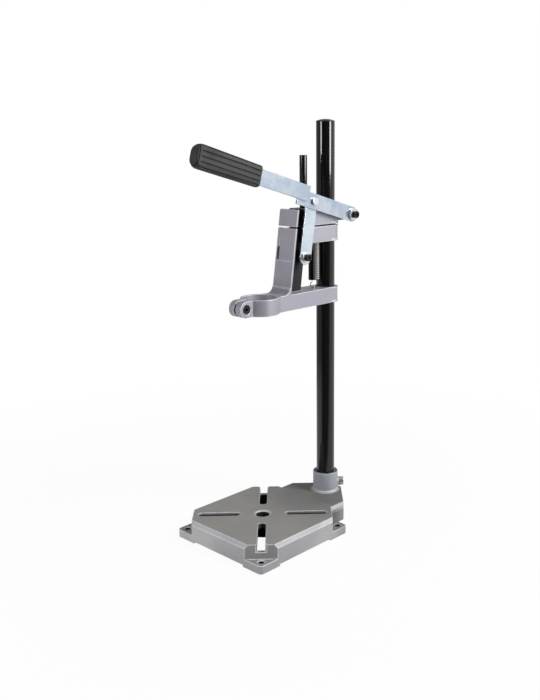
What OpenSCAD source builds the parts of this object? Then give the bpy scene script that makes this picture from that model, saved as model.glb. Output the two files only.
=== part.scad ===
// Drill stand: cast base, steel column, spring-returned carriage and hand lever.
// Millimetres. +Z is up, +Y runs from the drill axis to the column, origin on the bench under the drill axis.

/* [Base] */
// Side of the square base
base_side = 159; // [152:1:176]
// Height of the table surface above the bench
base_h = 30; // [28:1:36]
// Thickness of the table over the hollow underside
table_t = 8; // [6:0.5:11]
// Wall of the hollow base
base_wall = 6; // [5:0.5:8]
// Height of the four corner ears
ear_h = 11; // [8:0.5:13]
// Length cut from each table corner, along the side
corner_cut = 29; // [27:1:31]
// Radius of the ear corners
corner_r = 5; // [3:0.5:9]
// How far the feet reach below the side walls
foot_h = 2.5; // [1.5:0.5:4]
// Width of the bevel along the top edges
bevel_w = 3; // [1.5:0.5:4]
// Height of the bevel along the top edges
bevel_h = 5; // [2:0.5:6]
// Width of the four clamping slots
slot_w = 10; // [8:0.5:12]
// Distance of each slot's inner end from the drill axis
slot_start = 30; // [28:0.5:36]
// Distance of the closed slots' outer end from the drill axis
slot_end = 85; // [78:0.5:86]
// Diameter of the work hole under the drill
work_hole_d = 18; // [14:0.5:22]
// Chamfer of the work hole
work_hole_chamfer = 1.6; // [0.5:0.1:2.5]
// Diameter of the bench screw holes in the ears
ear_hole_d = 7; // [5:0.1:7.5]
// Distance of a bench screw hole from the two sides of its ear
ear_hole_inset = 9.5; // [8:0.5:10.5]
// Distance of the tongue's sides outside the ends of the table's back edge
tongue_side = 2.5; // [1:0.5:4]
// Straight length of the tongue behind the table
tongue_len = 23.5; // [16:0.5:25]
// Width of the bevel along the tongue's sides
tongue_bevel_w = 4; // [2:0.5:6]
// Height of the bevel along the tongue's sides
tongue_bevel_h = 7; // [4:0.5:12]
// Step from the table down to the tongue
tongue_drop = 3; // [1:0.5:4]

/* [Column] */
// Distance from the drill axis to the column axis
throat = 124; // [122:1:132]
// Outer diameter of the column tube
column_d = 25; // [24:0.5:25]
// Wall of the column tube
column_wall = 2.5; // [1.5:0.5:4]
// Length of the column tube
column_len = 533; // [500:1:600]
// Floor under the column in its socket
column_seat = 8; // [5:0.5:12]
// Height of the column cap's dome
cap_h = 2.5; // [1.5:0.5:6]
// Depth of the cap's plug in the tube
cap_plug = 12; // [6:1:20]
// Wall of the column socket
socket_wall = 5; // [3:0.5:6]
// Height of the column socket above the table
socket_h = 25; // [20:1:32]
// Running clearance of the castings on the column, per side
column_clear = 0.06; // [0.03:0.01:0.1]

/* [Head] */
// Height of the clamp block's underside above the bench
head_z = 407; // [380:1:430]
// Thickness of the clamp block
block_t = 22; // [20:0.5:24]
// Width of the block and of the carriage arms
arm_w = 33; // [32:0.5:36]
// Thickness of the carriage arms
arm_t = 21; // [18:0.5:24]
// Slit between the block and the carriage at rest
rest_gap = 2; // [1:0.5:4]
// Clear height between the carriage arms
jaw_h = 63; // [60:1:70]
// Lean of the front web from upright, degrees
web_lean = 8.3; // [5:0.1:9]
// Distance of the web's front from the drill axis, at the lower arm
web_front = 38; // [36:0.5:41]
// Depth of the web from its front face to its rear edge
web_depth = 32; // [30:0.5:33]
// Thickness of the web's front flange
flange_t = 3.5; // [2.5:0.5:6]
// Thickness of the web's centre rib
rib_t = 10; // [8:0.5:14]
// Depth of the shallow panel in the carriage's front flange
panel_depth = 1.2; // [0.5:0.1:1.5]
// Height of the shallow panel
panel_h = 42; // [30:1:50]
// Stroke of the carriage
stroke = 60; // [40:1:62]

/* [Collar] */
// Diameter of the drill neck that the collar clamps
collar_d = 43; // [38:0.5:44]
// Wall of the collar
collar_wall = 3.5; // [3:0.5:6]
// Slit in the front of the collar
collar_slit = 3; // [2:0.5:4]
// Width of each clamp lug beside the slit
lug_w = 9.5; // [8:0.5:14]
// Distance of the clamp screw from the collar's bore
lug_reach = 11; // [9.5:0.5:14]

/* [Guides and spring] */
// Diameter of the two guide rods
rod_d = 10; // [8:0.5:10]
// Distance of the stop rod from the column axis
stop_rod_offset = 43; // [42:0.5:45]
// Height of the stop rod's top above the block
stop_rod_rise = 69; // [65:1:80]
// Distance of the guide rod from the column axis
guide_rod_offset = 26.6; // [24:0.2:27]
// Length of the guide rod below the block
guide_rod_drop = 75; // [66:1:76]
// Outer diameter of the return spring
spring_d = 8; // [6:0.5:8]
// Wire of the return spring
spring_wire = 1.2; // [1:0.1:1.3]
// Coils of the return spring
spring_coils = 25; // [12:1:26]
// Sideways place of the spring
spring_x = 10.7; // [10.5:0.1:11]
// Distance of the spring from the column axis
spring_offset = 29.8; // [29:0.2:31]
// Mean radius of the hook at the spring's lower end
hook_r = 4.4; // [3.5:0.1:5]

/* [Lever] */
// Distance of the lever pivot behind the column axis
pivot_back = 29; // [28:0.5:34]
// Height of the lever pivot above the block's underside
pivot_up = 11; // [9:0.5:13]
// Rise of the lever from level at rest, degrees
lever_tilt = 15.4; // [12:0.1:18]
// Thickness of the lever's rear plate
plate_t = 3; // [2:0.5:4]
// Height of the rear plate
plate_h = 20; // [16:0.5:22]
// Reach of the rear plate from the pivot to its front end
plate_reach = 110.4; // [106:0.2:114]
// Distance of the link rivet from the lever pivot
rivet_reach = 79.2; // [76:0.2:82]
// Thickness of the lever bar
bar_t = 5; // [4:0.5:8]
// Height of the lever bar
bar_h = 20; // [16:0.5:20]
// Offset of the lever bar above the rear plate's centre line
bar_rise = 6.5; // [4:0.5:8]
// Length of the bar that lies on the rear plate
bar_lap = 15; // [10:0.5:20]
// Distance of the grip's inner end from the pivot
grip_start = 187; // [165:0.5:200]
// Length of the grip
grip_len = 101.5; // [85:0.5:125]
// Thickness of the grip from side to side
grip_t = 14; // [12:0.5:18]
// Height of the grip at its inner end
grip_h = 27; // [25:0.5:28]
// Height of the grip at its outer end
grip_end_h = 29; // [28.5:0.5:33]
// Radius of the grip's long edges
grip_edge_r = 5; // [3:0.5:5.5]
// Radius of the grip's outer corners
grip_end_r = 10; // [6:0.5:12]
// Count of the long grooves on each side of the grip
grip_grooves = 4; // [2:1:4]

/* [Links and pivots] */
// Thickness of the link
link_t = 3; // [2:0.5:4]
// Width of the link
link_w = 20; // [14:0.5:20]
// Distance of the link's lower pivot from the drill axis
link_y = 64.2; // [62:0.2:66]
// Height of the link's lower pivot above the lower arm
link_up = 46.3; // [42:0.1:48]
// Side gap between moving plates
plate_gap = 0.5; // [0.3:0.1:1]
// Diameter of the pivot bolts
bolt_d = 6; // [5:0.5:6]
// Running clearance of the plates on the bolts, per side
bolt_clear = 0.08; // [0.03:0.01:0.1]
// Thickness of the pivot's washer
washer_t = 3; // [1.5:0.5:3.5]
// Diameter of the pivot's washer
pivot_washer_d = 17; // [13:0.5:18]
// Diameter of the link rivet's head
rivet_head_d = 10; // [7:0.5:10.5]

/* [Hidden] */
$fn = 64;

// Small overlap that lets one cut pass a face
cut = 1;
// Clearance of a part held still in its seat, per side
seat_clear = 0.02;

// Heights of the carriage
upper_arm_z = head_z - rest_gap - arm_t;
lower_arm_z = upper_arm_z - jaw_h - arm_t;
lower_top_z = lower_arm_z + arm_t;
upper_top_z = upper_arm_z + arm_t;
block_top_z = head_z + block_t;

// Radii and half widths
column_r = column_d / 2;
column_bore_r = column_r + column_clear;
half_w = arm_w / 2;
lip_r = half_w + 1;
lip_h = 2;
socket_r = column_r + socket_wall;
collar_r = collar_d / 2;
collar_out_r = collar_r + collar_wall;
rod_r = rod_d / 2;
rod_run_r = rod_r + column_clear;

// Base
half = base_side / 2;
ear_hole_at = half - ear_hole_inset;
tongue_w = base_side - 2 * corner_cut + 2 * tongue_side;
tongue_top_z = base_h - tongue_drop;
// Floor of the slots where they cross the walls
slot_floor_z = base_h - table_t - 2;
ear_chamfer = 1;
// The table's corner cut as a distance along the diagonal
cut_diag = (2 * half - corner_cut) / sqrt(2);
socket_top_z = base_h + socket_h;
socket_screw_z = base_h + socket_h * 0.33;
socket_screw_turn = 45;
socket_boss_r = 6.5;
socket_boss_reach = socket_r + 1.5;
screw_r = 4;
screw_head_r = 6;
screw_head_h = 6.5;
hex_r = 2.9;

// Places of guides, spring and pivots, as distances from the drill axis and the bench
stop_rod_y = throat - stop_rod_offset;
guide_rod_y = throat - guide_rod_offset;
spring_y = throat - spring_offset;
body_front_y = stop_rod_y - rod_r - 5;
pivot_y = throat + pivot_back;
pivot_z = head_z + pivot_up;
link_z = lower_top_z + link_up;
spring_hole_r = spring_d / 2 + 0.5;

// Side stack, from the centre plane outwards: link, rear plate, lever bar
link_x = half_w + plate_gap;
plate_x = link_x + link_t + plate_gap + 0.3;
plate_out_x = plate_x + plate_t;
bar_out_x = plate_out_x + bar_t;
link_boss_r = 8;
lug_r = 7;

// Rivet at rest, and the link from it to its lower pivot
rivet_y = pivot_y - rivet_reach * cos(lever_tilt);
rivet_z = pivot_z + rivet_reach * sin(lever_tilt);
link_len = norm([rivet_y - link_y, rivet_z - link_z]);
link_tilt = atan2(rivet_y - link_y, rivet_z - link_z);

// Bolts, washers and nuts
bolt_r = bolt_d / 2;
bolt_run_r = bolt_r + bolt_clear;
bolt_head_r = bolt_d * 0.8;
bolt_head_h = bolt_d * 0.8;
washer_r = bolt_d * 1.15;
nut_r = bolt_d * 0.95;
nut_h = bolt_d * 0.8;
thin_washer_t = 1.5;
// Running gap between a washer and the plate it guards
washer_gap = 0.1;
link_seat_x = link_x + link_t + washer_gap + thin_washer_t;

// Collar screw
lug_y = -(collar_r + lug_reach);
lug_z = lower_arm_z + arm_t / 2;
lug_out_x = collar_slit / 2 + lug_w;
// Counterbore that sinks the screw's head in its lug
lug_bore_r = bolt_head_r + 1.4;
lug_seat_x = lug_out_x - bolt_head_h - 0.4;

// Spring: the hook faces the open side of the carriage
spring_mean_r = (spring_d - spring_wire) / 2;
hook_turn = 42;
hook_shift = 3.6;
hook_z = lower_top_z + hook_r + spring_wire / 2 + 1;
eye_h = 5;
eye_w = 5;
eye_t = 2.5;
eye_r = 1.5;
coil_start_z = hook_z + hook_r + 3.2;
coil_end_z = head_z - 3.6;
curl_rings = 8;
tube_sides = 6;

// Front face of the leaning web at a height
function web_y(z) = web_front + (z - lower_top_z) * tan(web_lean);

// Draws its 2D children, given as (Y, Z), as a plate from x0 to x0 + t
module plate_yz(x0, t) {
    translate([x0, 0, 0])
        rotate([90, 0, 90])
            linear_extrude(t)
                children();
}

// A round bar along X from x0 to x1
module bar_x(x0, x1, r, y, z) {
    translate([x0, y, z])
        rotate([0, 90, 0])
            cylinder(h = x1 - x0, r = r);
}

// A hexagon bar along X from x0 to x1
module hex_x(x0, x1, r, y, z) {
    translate([x0, y, z])
        rotate([0, 90, 0])
            cylinder(h = x1 - x0, r = r, $fn = 6);
}

// Socket-head screw along X: the head's seat at x0, the head towards +X, the shank of length len towards -X
module cap_screw_x(x0, len, r, head_r, head_h, y, z) {
    difference() {
        union() {
            bar_x(x0, x0 + head_h, head_r, y, z);
            bar_x(x0 - len, x0 + cut / 4, r, y, z);
        }
        hex_x(x0 + head_h * 0.4, x0 + head_h + cut, head_r * 0.5, y, z);
    }
}

// Ring along X
module ring_x(x0, x1, r_out, r_in, y, z) {
    difference() {
        bar_x(x0, x1, r_out, y, z);
        bar_x(x0 - cut, x1 + cut, r_in, y, z);
    }
}

// Outline of the table, a square with cut corners, drawn in by an inset
module table_outline(inset) {
    h = half - inset;
    c = corner_cut + inset * (sqrt(2) - 2);
    polygon([[-h, -h + c], [-h + c, -h], [h - c, -h], [h, -h + c], [h, h - c], [h - c, h], [-h + c, h], [-h, h - c]]);
}

// Outline of the tongue from the middle of the table to behind the column, drawn in by an inset
module tongue_outline(inset) {
    w = tongue_w / 2 - inset;
    y = half + tongue_len - inset * 0.4;
    tip_y = throat + socket_r + 3 - inset;
    tip_w = max(w - (tip_y - y), 8);
    polygon([[-w, half / 2], [w, half / 2], [w, y], [tip_w, tip_y], [-tip_w, tip_y], [-w, y]]);
}

// A slot along a diagonal of the table, from the distance a to b
module slot(turn, a, b) {
    h = base_h - slot_floor_z + cut;
    rotate([0, 0, turn])
        translate([0, 0, slot_floor_z]) {
            translate([a + slot_w / 2, 0, 0])
                cylinder(h = h, d = slot_w);
            translate([a + slot_w / 2, -slot_w / 2, 0])
                cube([b - a - slot_w, slot_w, h]);
            translate([b - slot_w / 2, 0, 0])
                cylinder(h = h, d = slot_w);
        }
}

// Shallow rebate round an open slot's mouth in the corner wall
module slot_mouth(turn) {
    w = slot_w + 4;
    rotate([0, 0, turn])
        translate([cut_diag - 2, -w / 2, slot_floor_z])
            cube([slot_w, w, base_h]);
}

// Draws its children about the column's axis, turned so that +X is the socket screw's way
module at_socket_screw() {
    translate([0, throat, 0])
        rotate([0, 0, socket_screw_turn])
            children();
}

// Bevel cutter along an edge at height top and distance d from the drill axis, w wide and h tall
module edge_bevel(turn, d, w, h, top) {
    len = 2 * base_side;
    rotate([0, 0, turn])
        translate([-len / 2, 0, 0])
            rotate([90, 0, 90])
                linear_extrude(len)
                    polygon([[-d - cut, top + cut], [-d + w * (1 + cut / h), top + cut],
                             [-d - w * cut / h, top - h - cut], [-d - cut, top - h - cut]]);
}

// Table with its bevelled front and sides
module table_body() {
    difference() {
        translate([0, 0, foot_h])
            linear_extrude(base_h - foot_h)
                table_outline(0);
        for (side = [0, 90, 270])
            edge_bevel(side, half, bevel_w, bevel_h, base_h);
    }
}

// Tongue with its bevelled sides
module tongue_body() {
    difference() {
        translate([0, 0, foot_h])
            linear_extrude(tongue_top_z - foot_h)
                tongue_outline(0);
        for (side = [90, 270])
            edge_bevel(side, tongue_w / 2, tongue_bevel_w, tongue_bevel_h, tongue_top_z);
    }
}

module base_plate() {
    color([0.57, 0.57, 0.56])
        difference() {
            union() {
                table_body();
                tongue_body();
                for (sx = [-1, 1], sy = [-1, 1])
                    ear(sx, sy);
                translate([0, throat, foot_h])
                    cylinder(h = socket_top_z - foot_h, r = socket_r);
                socket_foot();
                at_socket_screw()
                    bar_x(0, socket_boss_reach, socket_boss_r, 0, socket_screw_z);
            }
            underside();
            slot(-45, slot_start, cut_diag + slot_w);
            slot(135, slot_start, cut_diag + slot_w);
            slot(45, slot_start, slot_end);
            slot(225, slot_start, slot_end);
            slot_mouth(-45);
            slot_mouth(135);
            translate([0, 0, -cut])
                cylinder(h = base_h + 2 * cut, d = work_hole_d);
            translate([0, 0, base_h - work_hole_chamfer - cut])
                cylinder(h = work_hole_chamfer + 2 * cut, d1 = work_hole_d - 2 * cut,
                         d2 = work_hole_d + 2 * work_hole_chamfer + 2 * cut);
            translate([0, throat, column_seat])
                cylinder(h = socket_top_z, r = column_r + seat_clear);
            at_socket_screw()
                bar_x(0, socket_boss_reach + cut, screw_r + seat_clear, 0, socket_screw_z);
            for (sx = [-1, 1], sy = [-1, 1])
                translate([sx * ear_hole_at, sy * ear_hole_at, 0]) {
                    translate([0, 0, -cut])
                        cylinder(h = ear_h + 2 * cut, d = ear_hole_d);
                    translate([0, 0, ear_h - ear_chamfer - cut])
                        cylinder(h = ear_chamfer + 2 * cut, d1 = ear_hole_d - 2 * cut,
                                 d2 = ear_hole_d + 2 * ear_chamfer + 2 * cut);
                }
        }
}

// Sloping foot of the column socket
module socket_foot() {
    f = 2.5;
    translate([0, throat, tongue_top_z])
        rotate_extrude()
            polygon([[socket_r - cut, -cut], [socket_r + f, -cut], [socket_r + f, 0], [socket_r - 0.2, f + 0.2],
                     [socket_r - cut, f + 0.2]]);
}

// One corner ear: a square block with a round outer corner
module ear(sx, sy) {
    side = corner_cut + 4;
    mirror([sx < 0 ? 1 : 0, 0, 0])
        mirror([0, sy < 0 ? 1 : 0, 0])
            difference() {
                translate([half - side, half - side, 0])
                    cube([side, side, ear_h]);
                translate([half - corner_r, half - corner_r, -cut])
                    linear_extrude(ear_h + 2 * cut)
                        difference() {
                            square(corner_r + cut);
                            circle(r = corner_r);
                        }
            }
}

// Hollow of the casting, with the walls, the socket, two ribs and the ring round the work hole left standing
module underside() {
    hollow_h = base_h - table_t + cut;
    rib_at = work_hole_d / 2 + base_wall / 2;
    difference() {
        translate([0, 0, -cut])
            linear_extrude(hollow_h)
                union() {
                    table_outline(base_wall);
                    tongue_outline(base_wall);
                }
        translate([0, throat, 0])
            cylinder(h = base_h, r = socket_r + 1);
        translate([0, 0, foot_h])
            cylinder(h = base_h, d = work_hole_d + 2 * base_wall);
        for (side = [-1, 1])
            translate([side * rib_at - base_wall / 4, 0, foot_h])
                cube([base_wall / 2, throat, base_h]);
    }
}

module socket_screw() {
    tip = column_r + seat_clear;
    color([0.42, 0.43, 0.4])
        at_socket_screw()
            cap_screw_x(socket_boss_reach, socket_boss_reach - tip, screw_r, screw_head_r, screw_head_h, 0,
                        socket_screw_z);
}

module column() {
    color([0.09, 0.09, 0.09])
        translate([0, throat, column_seat])
            difference() {
                cylinder(h = column_len, r = column_r);
                translate([0, 0, -cut])
                    cylinder(h = column_len + 2 * cut, r = column_r - column_wall);
            }
}

module column_cap() {
    plug_r = column_r - column_wall - seat_clear;
    rim_h = 1.2;
    color([0.1, 0.1, 0.1])
        translate([0, throat, column_seat + column_len])
            rotate_extrude()
                union() {
                    translate([0, -cap_plug])
                        square([plug_r, cap_plug + rim_h]);
                    square([column_r, rim_h]);
                    intersection() {
                        dome_r = (column_r * column_r + cap_h * cap_h) / (2 * cap_h);
                        translate([0, rim_h])
                            square([column_r, cap_h]);
                        translate([0, rim_h + cap_h - dome_r])
                            circle(r = dome_r, $fn = 200);
                    }
                }
}

// One flat arm: a slab from y0 to the column with a round end and lips about the column
module arm(z, t, y0) {
    translate([-half_w, y0, z])
        cube([arm_w, throat - y0, t]);
    translate([0, throat, z])
        cylinder(h = t, r = half_w);
    for (lip_z = [z, z + t - lip_h])
        translate([0, throat, lip_z])
            cylinder(h = lip_h, r = lip_r);
}

// The leaning web between two heights: a wide front flange and a centre rib behind it
module web(z0, z1, rear) {
    plate_yz(-half_w, arm_w)
        polygon([[web_y(z0), z0], [web_y(z1), z1], [web_y(z1) + flange_t, z1], [web_y(z0) + flange_t, z0]]);
    plate_yz(-rib_t / 2, rib_t)
        polygon([[web_y(z0) + cut, z0], [web_y(z1) + cut, z1], [max(web_y(z1) + web_depth, rear), z1],
                 [max(web_y(z0) + web_depth, rear), z0]]);
}

module clamp_block() {
    color([0.58, 0.57, 0.61])
        difference() {
            union() {
                arm(head_z, block_t, body_front_y);
                web(head_z, block_top_z, body_front_y + cut);
                translate([-half_w, throat, pivot_z - lug_r])
                    cube([arm_w, pivot_back, 2 * lug_r]);
                bar_x(-half_w, half_w, lug_r, pivot_y, pivot_z);
            }
            translate([0, throat, head_z - cut])
                cylinder(h = block_t + 2 * cut, r = column_bore_r);
            translate([0, stop_rod_y, head_z - cut])
                cylinder(h = block_t + 2 * cut, r = rod_run_r);
            translate([0, guide_rod_y, head_z - cut])
                cylinder(h = block_t + 2 * cut, r = rod_r + seat_clear);
            bar_x(-half_w - cut, half_w + cut, bolt_r + seat_clear, pivot_y, pivot_z);
            bar_x(-half_w - cut, 0, screw_r + seat_clear, throat, head_z + block_t / 2);
        }
}

module block_grub_screw() {
    z = head_z + block_t / 2;
    color([0.1, 0.1, 0.1])
        difference() {
            bar_x(-half_w, -column_r - 2 * seat_clear, screw_r, throat, z);
            hex_x(-half_w - cut, -half_w + 2.5, hex_r * 0.8, throat, z);
        }
}

module guide_rod() {
    color([0.09, 0.09, 0.09])
        translate([0, guide_rod_y, head_z - guide_rod_drop])
            cylinder(h = guide_rod_drop + block_t, r = rod_r);
}

// The stop rod is seated in the upper arm and rises through the block
module stop_rod() {
    color([0.09, 0.09, 0.09])
        translate([0, stop_rod_y, upper_arm_z])
            cylinder(h = block_top_z + stop_rod_rise - upper_arm_z, r = rod_r);
}

module pivot_bolt() {
    seat_x = plate_out_x + washer_t;
    color([0.1, 0.1, 0.1])
        cap_screw_x(seat_x, seat_x + half_w + nut_h, bolt_r, bolt_head_r, bolt_head_h, pivot_y, pivot_z);
}

module pivot_spacer() {
    color([0.75, 0.77, 0.8])
        ring_x(half_w, plate_x - washer_gap, washer_r, bolt_r + seat_clear, pivot_y, pivot_z);
}

module pivot_washer() {
    color([0.8, 0.82, 0.84])
        ring_x(plate_out_x + washer_gap, plate_out_x + washer_t, pivot_washer_d / 2, bolt_r + seat_clear, pivot_y,
               pivot_z);
}

// Hexagon nut along X between x0 and x1
module nut_x(x0, x1, r_in, y, z) {
    difference() {
        hex_x(x0, x1, nut_r, y, z);
        bar_x(x0 - cut, x1 + cut, r_in, y, z);
    }
}

module pivot_nut() {
    color([0.1, 0.1, 0.1])
        nut_x(-half_w - nut_h, -half_w, bolt_r + seat_clear, pivot_y, pivot_z);
}

// Concave fillet between the collar and the lower arm, on the +X side
module collar_fillet() {
    f = 10;
    fy = sqrt(pow(collar_out_r + f, 2) - pow(half_w + f, 2));
    reach = collar_out_r / (collar_out_r + f);
    linear_extrude(arm_t)
        difference() {
            polygon([[0, collar_r], [(half_w + f) * reach, fy * reach], [half_w + f, fy], [0, fy]]);
            translate([half_w + f, fy])
                circle(r = f);
        }
}

module carriage() {
    panel_z = upper_top_z - panel_h;
    panel_w = arm_w - 6;
    groove_w = 2.5;
    groove_d = 2.6;
    groove_top = panel_z + panel_h * 0.43;
    color([0.58, 0.57, 0.61])
        difference() {
            union() {
                arm(lower_arm_z, arm_t, collar_r);
                arm(upper_arm_z, arm_t, body_front_y);
                web(lower_arm_z + arm_t / 2, upper_top_z, 0);
                web_foot();
                translate([0, 0, lower_arm_z])
                    cylinder(h = arm_t, r = collar_out_r);
                for (side = [0, 1])
                    mirror([side, 0, 0])
                        translate([0, 0, lower_arm_z])
                            collar_fillet();
                bar_x(-half_w, half_w, link_boss_r, link_y, link_z);
                translate([-lug_out_x, lug_y, lower_arm_z])
                    cube([2 * lug_out_x, -lug_y - collar_r + 2, arm_t]);
                bar_x(-lug_out_x, lug_out_x, arm_t / 2, lug_y, lug_z);
                spring_eye();
            }
            translate([0, 0, lower_arm_z - cut])
                cylinder(h = arm_t + 2 * cut, r = collar_r);
            translate([-collar_slit / 2, lug_y - arm_t, lower_arm_z - cut])
                cube([collar_slit, arm_t - lug_y, arm_t + 2 * cut]);
            for (z = [lower_arm_z, upper_arm_z])
                translate([0, throat, z - cut])
                    cylinder(h = arm_t + 2 * cut, r = column_bore_r);
            translate([0, guide_rod_y, upper_arm_z - cut])
                cylinder(h = arm_t + 2 * cut, r = rod_run_r);
            translate([0, stop_rod_y, upper_arm_z - cut])
                cylinder(h = arm_t + 2 * cut, r = rod_r + seat_clear);
            translate([spring_x, spring_y, upper_arm_z - cut])
                cylinder(h = arm_t + 2 * cut, r = spring_hole_r);
            bar_x(-half_w - cut, half_w + cut, bolt_r + seat_clear, link_y, link_z);
            bar_x(-lug_out_x - cut, lug_out_x + cut, bolt_r + seat_clear, lug_y, lug_z);
            bar_x(lug_seat_x, lug_out_x + cut, lug_bore_r, lug_y, lug_z);
            plate_yz(-panel_w / 2, panel_w)
                polygon([[web_y(panel_z) - cut, panel_z], [web_y(upper_top_z) - cut, upper_top_z + cut],
                         [web_y(upper_top_z) + panel_depth, upper_top_z + cut],
                         [web_y(panel_z) + panel_depth, panel_z]]);
            plate_yz(-panel_w / 2 - 1, groove_w)
                polygon([[web_y(panel_z) - cut, panel_z + cut], [web_y(groove_top) - cut, groove_top],
                         [web_y(groove_top) + groove_d, groove_top], [web_y(panel_z) + groove_d, panel_z + cut]]);
        }
}

// Concave foot of the web on the lower arm
module web_foot() {
    f = 9;
    y = web_y(lower_top_z);
    plate_yz(-half_w, arm_w)
        difference() {
            polygon([[y - f, lower_top_z - cut], [y + cut, lower_top_z - cut],
                     [web_y(lower_top_z + f) + cut / 2, lower_top_z + f], [y - f, lower_top_z]]);
            translate([y - f, lower_top_z + f])
                circle(r = f);
        }
}

// Eye on the lower arm that holds the spring's hook
module spring_eye() {
    translate([spring_x - hook_shift * cos(hook_turn), spring_y - hook_shift * sin(hook_turn), lower_top_z - cut])
        rotate([0, 0, hook_turn])
            difference() {
                translate([-eye_t / 2, -eye_w / 2, 0])
                    cube([eye_t, eye_w, eye_h + cut]);
                translate([-eye_t, 0, hook_z - hook_r - lower_top_z + cut - 0.5])
                    rotate([0, 90, 0])
                        cylinder(h = 2 * eye_t, r = eye_r);
            }
}

module collar_screw() {
    len = lug_seat_x + lug_out_x + nut_h;
    color([0.1, 0.1, 0.1])
        cap_screw_x(lug_seat_x, len, bolt_r, bolt_head_r, bolt_head_h, lug_y, lug_z);
}

// The link bolt passes the link and the carriage's boss
module link_bolt() {
    color([0.1, 0.1, 0.1])
        cap_screw_x(link_seat_x, link_seat_x + half_w + nut_h, bolt_r, bolt_head_r, bolt_head_h, link_y, link_z);
}

module link_washer() {
    color([0.82, 0.83, 0.84])
        ring_x(link_seat_x - thin_washer_t, link_seat_x, washer_r, bolt_r + seat_clear, link_y, link_z);
}

// Nuts of the collar screw and of the link bolt
module carriage_nuts() {
    color([0.6, 0.61, 0.62]) {
        nut_x(-lug_out_x - nut_h, -lug_out_x, bolt_r + seat_clear, lug_y, lug_z);
        nut_x(-half_w - nut_h, -half_w, bolt_r + seat_clear, link_y, link_z);
    }
}

// One link plate with round ends, from its lower pivot up to the rivet
module feed_link() {
    color([0.8, 0.83, 0.87])
        translate([link_x, link_y, link_z])
            rotate([-link_tilt, 0, 0])
                difference() {
                    union() {
                        bar_x(0, link_t, link_w / 2, 0, 0);
                        bar_x(0, link_t, link_w / 2, 0, link_len);
                        translate([0, -link_w / 2, 0])
                            cube([link_t, link_w, link_len]);
                    }
                    bar_x(-cut, link_t + cut, bolt_run_r, 0, 0);
                    bar_x(-cut, link_t + cut, bolt_run_r, 0, link_len);
                }
}

// Draws its children in the lever's own frame: +Y from the pivot towards the grip, +Z up across the lever
module lever_frame() {
    translate([0, pivot_y, pivot_z])
        rotate([lever_tilt, 0, 180])
            children();
}

// The rear plate lies beside the link, which the turned frame puts at -X
module lever_plate() {
    color([0.8, 0.83, 0.87])
        lever_frame()
            difference() {
                union() {
                    bar_x(-plate_out_x, -plate_x, plate_h / 2, 0, 0);
                    translate([-plate_out_x, 0, -plate_h / 2])
                        cube([plate_t, plate_reach, plate_h]);
                }
                bar_x(-plate_out_x - cut, -plate_x + cut, bolt_run_r, 0, 0);
                bar_x(-plate_out_x - cut, -plate_x + cut, bolt_r + seat_clear, rivet_reach, 0);
            }
}

// The rivet is set in the rear plate
module link_rivet() {
    head_h = 3;
    color([0.72, 0.74, 0.77])
        lever_frame() {
            bar_x(-plate_out_x - cut / 4, -plate_x, bolt_r, rivet_reach, 0);
            bar_x(-plate_out_x - head_h, -plate_out_x, rivet_head_d / 2, rivet_reach, 0);
        }
}

// The bar lies on the outside of the rear plate and ends inside the grip
module lever_bar() {
    start = plate_reach - bar_lap;
    tip_r = bar_h / 2;
    len = grip_start + grip_len - 20 - start;
    color([0.8, 0.83, 0.87])
        lever_frame()
            translate([-bar_out_x, start, bar_rise]) {
                translate([0, 0, -bar_h / 2])
                    cube([bar_t, len - tip_r, bar_h]);
                bar_x(0, bar_t, tip_r, len - tip_r, 0);
            }
}

// Rectangle with round corners
module round_rect(w, h, r) {
    square([w - 2 * r, h], center = true);
    square([w, h - 2 * r], center = true);
    for (sx = [-1, 1], sy = [-1, 1])
        translate([sx * (w / 2 - r), sy * (h / 2 - r)])
            circle(r = r);
}

// Side view of the grip: a taper with a round outer end
module grip_side() {
    end = grip_end_h / 2;
    y = grip_len - grip_end_r;
    polygon([[0, -grip_h / 2], [y, -end], [y, end], [0, grip_h / 2]]);
    translate([y - cut, grip_end_r - end])
        square([grip_end_r + cut, 2 * (end - grip_end_r)]);
    for (side = [-1, 1])
        translate([y, side * (end - grip_end_r)])
            circle(r = grip_end_r);
}

module lever_grip() {
    groove_r = 0.9;
    groove_step = 6.2;
    color([0.27, 0.27, 0.28])
        lever_frame()
            translate([-(plate_out_x + bar_t / 2), grip_start, bar_rise])
                difference() {
                    intersection() {
                        translate([0, -cut, 0])
                            rotate([-90, 0, 0])
                                linear_extrude(grip_len + 2 * cut)
                                    round_rect(grip_t, grip_end_h + 1, grip_edge_r);
                        plate_yz(-grip_t, 2 * grip_t)
                            grip_side();
                    }
                    for (side = [-1, 1], i = [0:grip_grooves - 1])
                        translate([side * (grip_t / 2 + 0.3), 4, (i - (grip_grooves - 1) / 2) * groove_step])
                            rotate([-90, 0, 0])
                                cylinder(h = grip_len - 20, r = groove_r, $fn = 16);
                    for (side = [-1, 1])
                        translate([side * (grip_t / 2 + 0.3), grip_len - 10.5, -grip_end_h])
                            cylinder(h = 2 * grip_end_h, r = groove_r, $fn = 16);
                    grip_pocket(grip_len - 20);
                }
}

// Pocket of the grip that the bar's end fills
module grip_pocket(depth) {
    tip_r = bar_h / 2 + seat_clear;
    w = bar_t + 2 * seat_clear;
    translate([-w / 2, -cut, -tip_r])
        cube([w, depth - bar_h / 2 + cut, 2 * tip_r]);
    bar_x(-w / 2, w / 2, tip_r, depth - bar_h / 2, 0);
}

// Return spring

// Point of the hook's ring at an angle from its lowest point
function hook_point(a) =
    let (u = hook_r * sin(a) - hook_shift)
    [spring_x + u * cos(hook_turn), spring_y + u * sin(hook_turn), hook_z - hook_r * cos(a)];

// Point at a radius and angle about the spring's axis
function spring_point(r, a, z) = [spring_x + r * cos(a), spring_y + r * sin(a), z];

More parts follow.
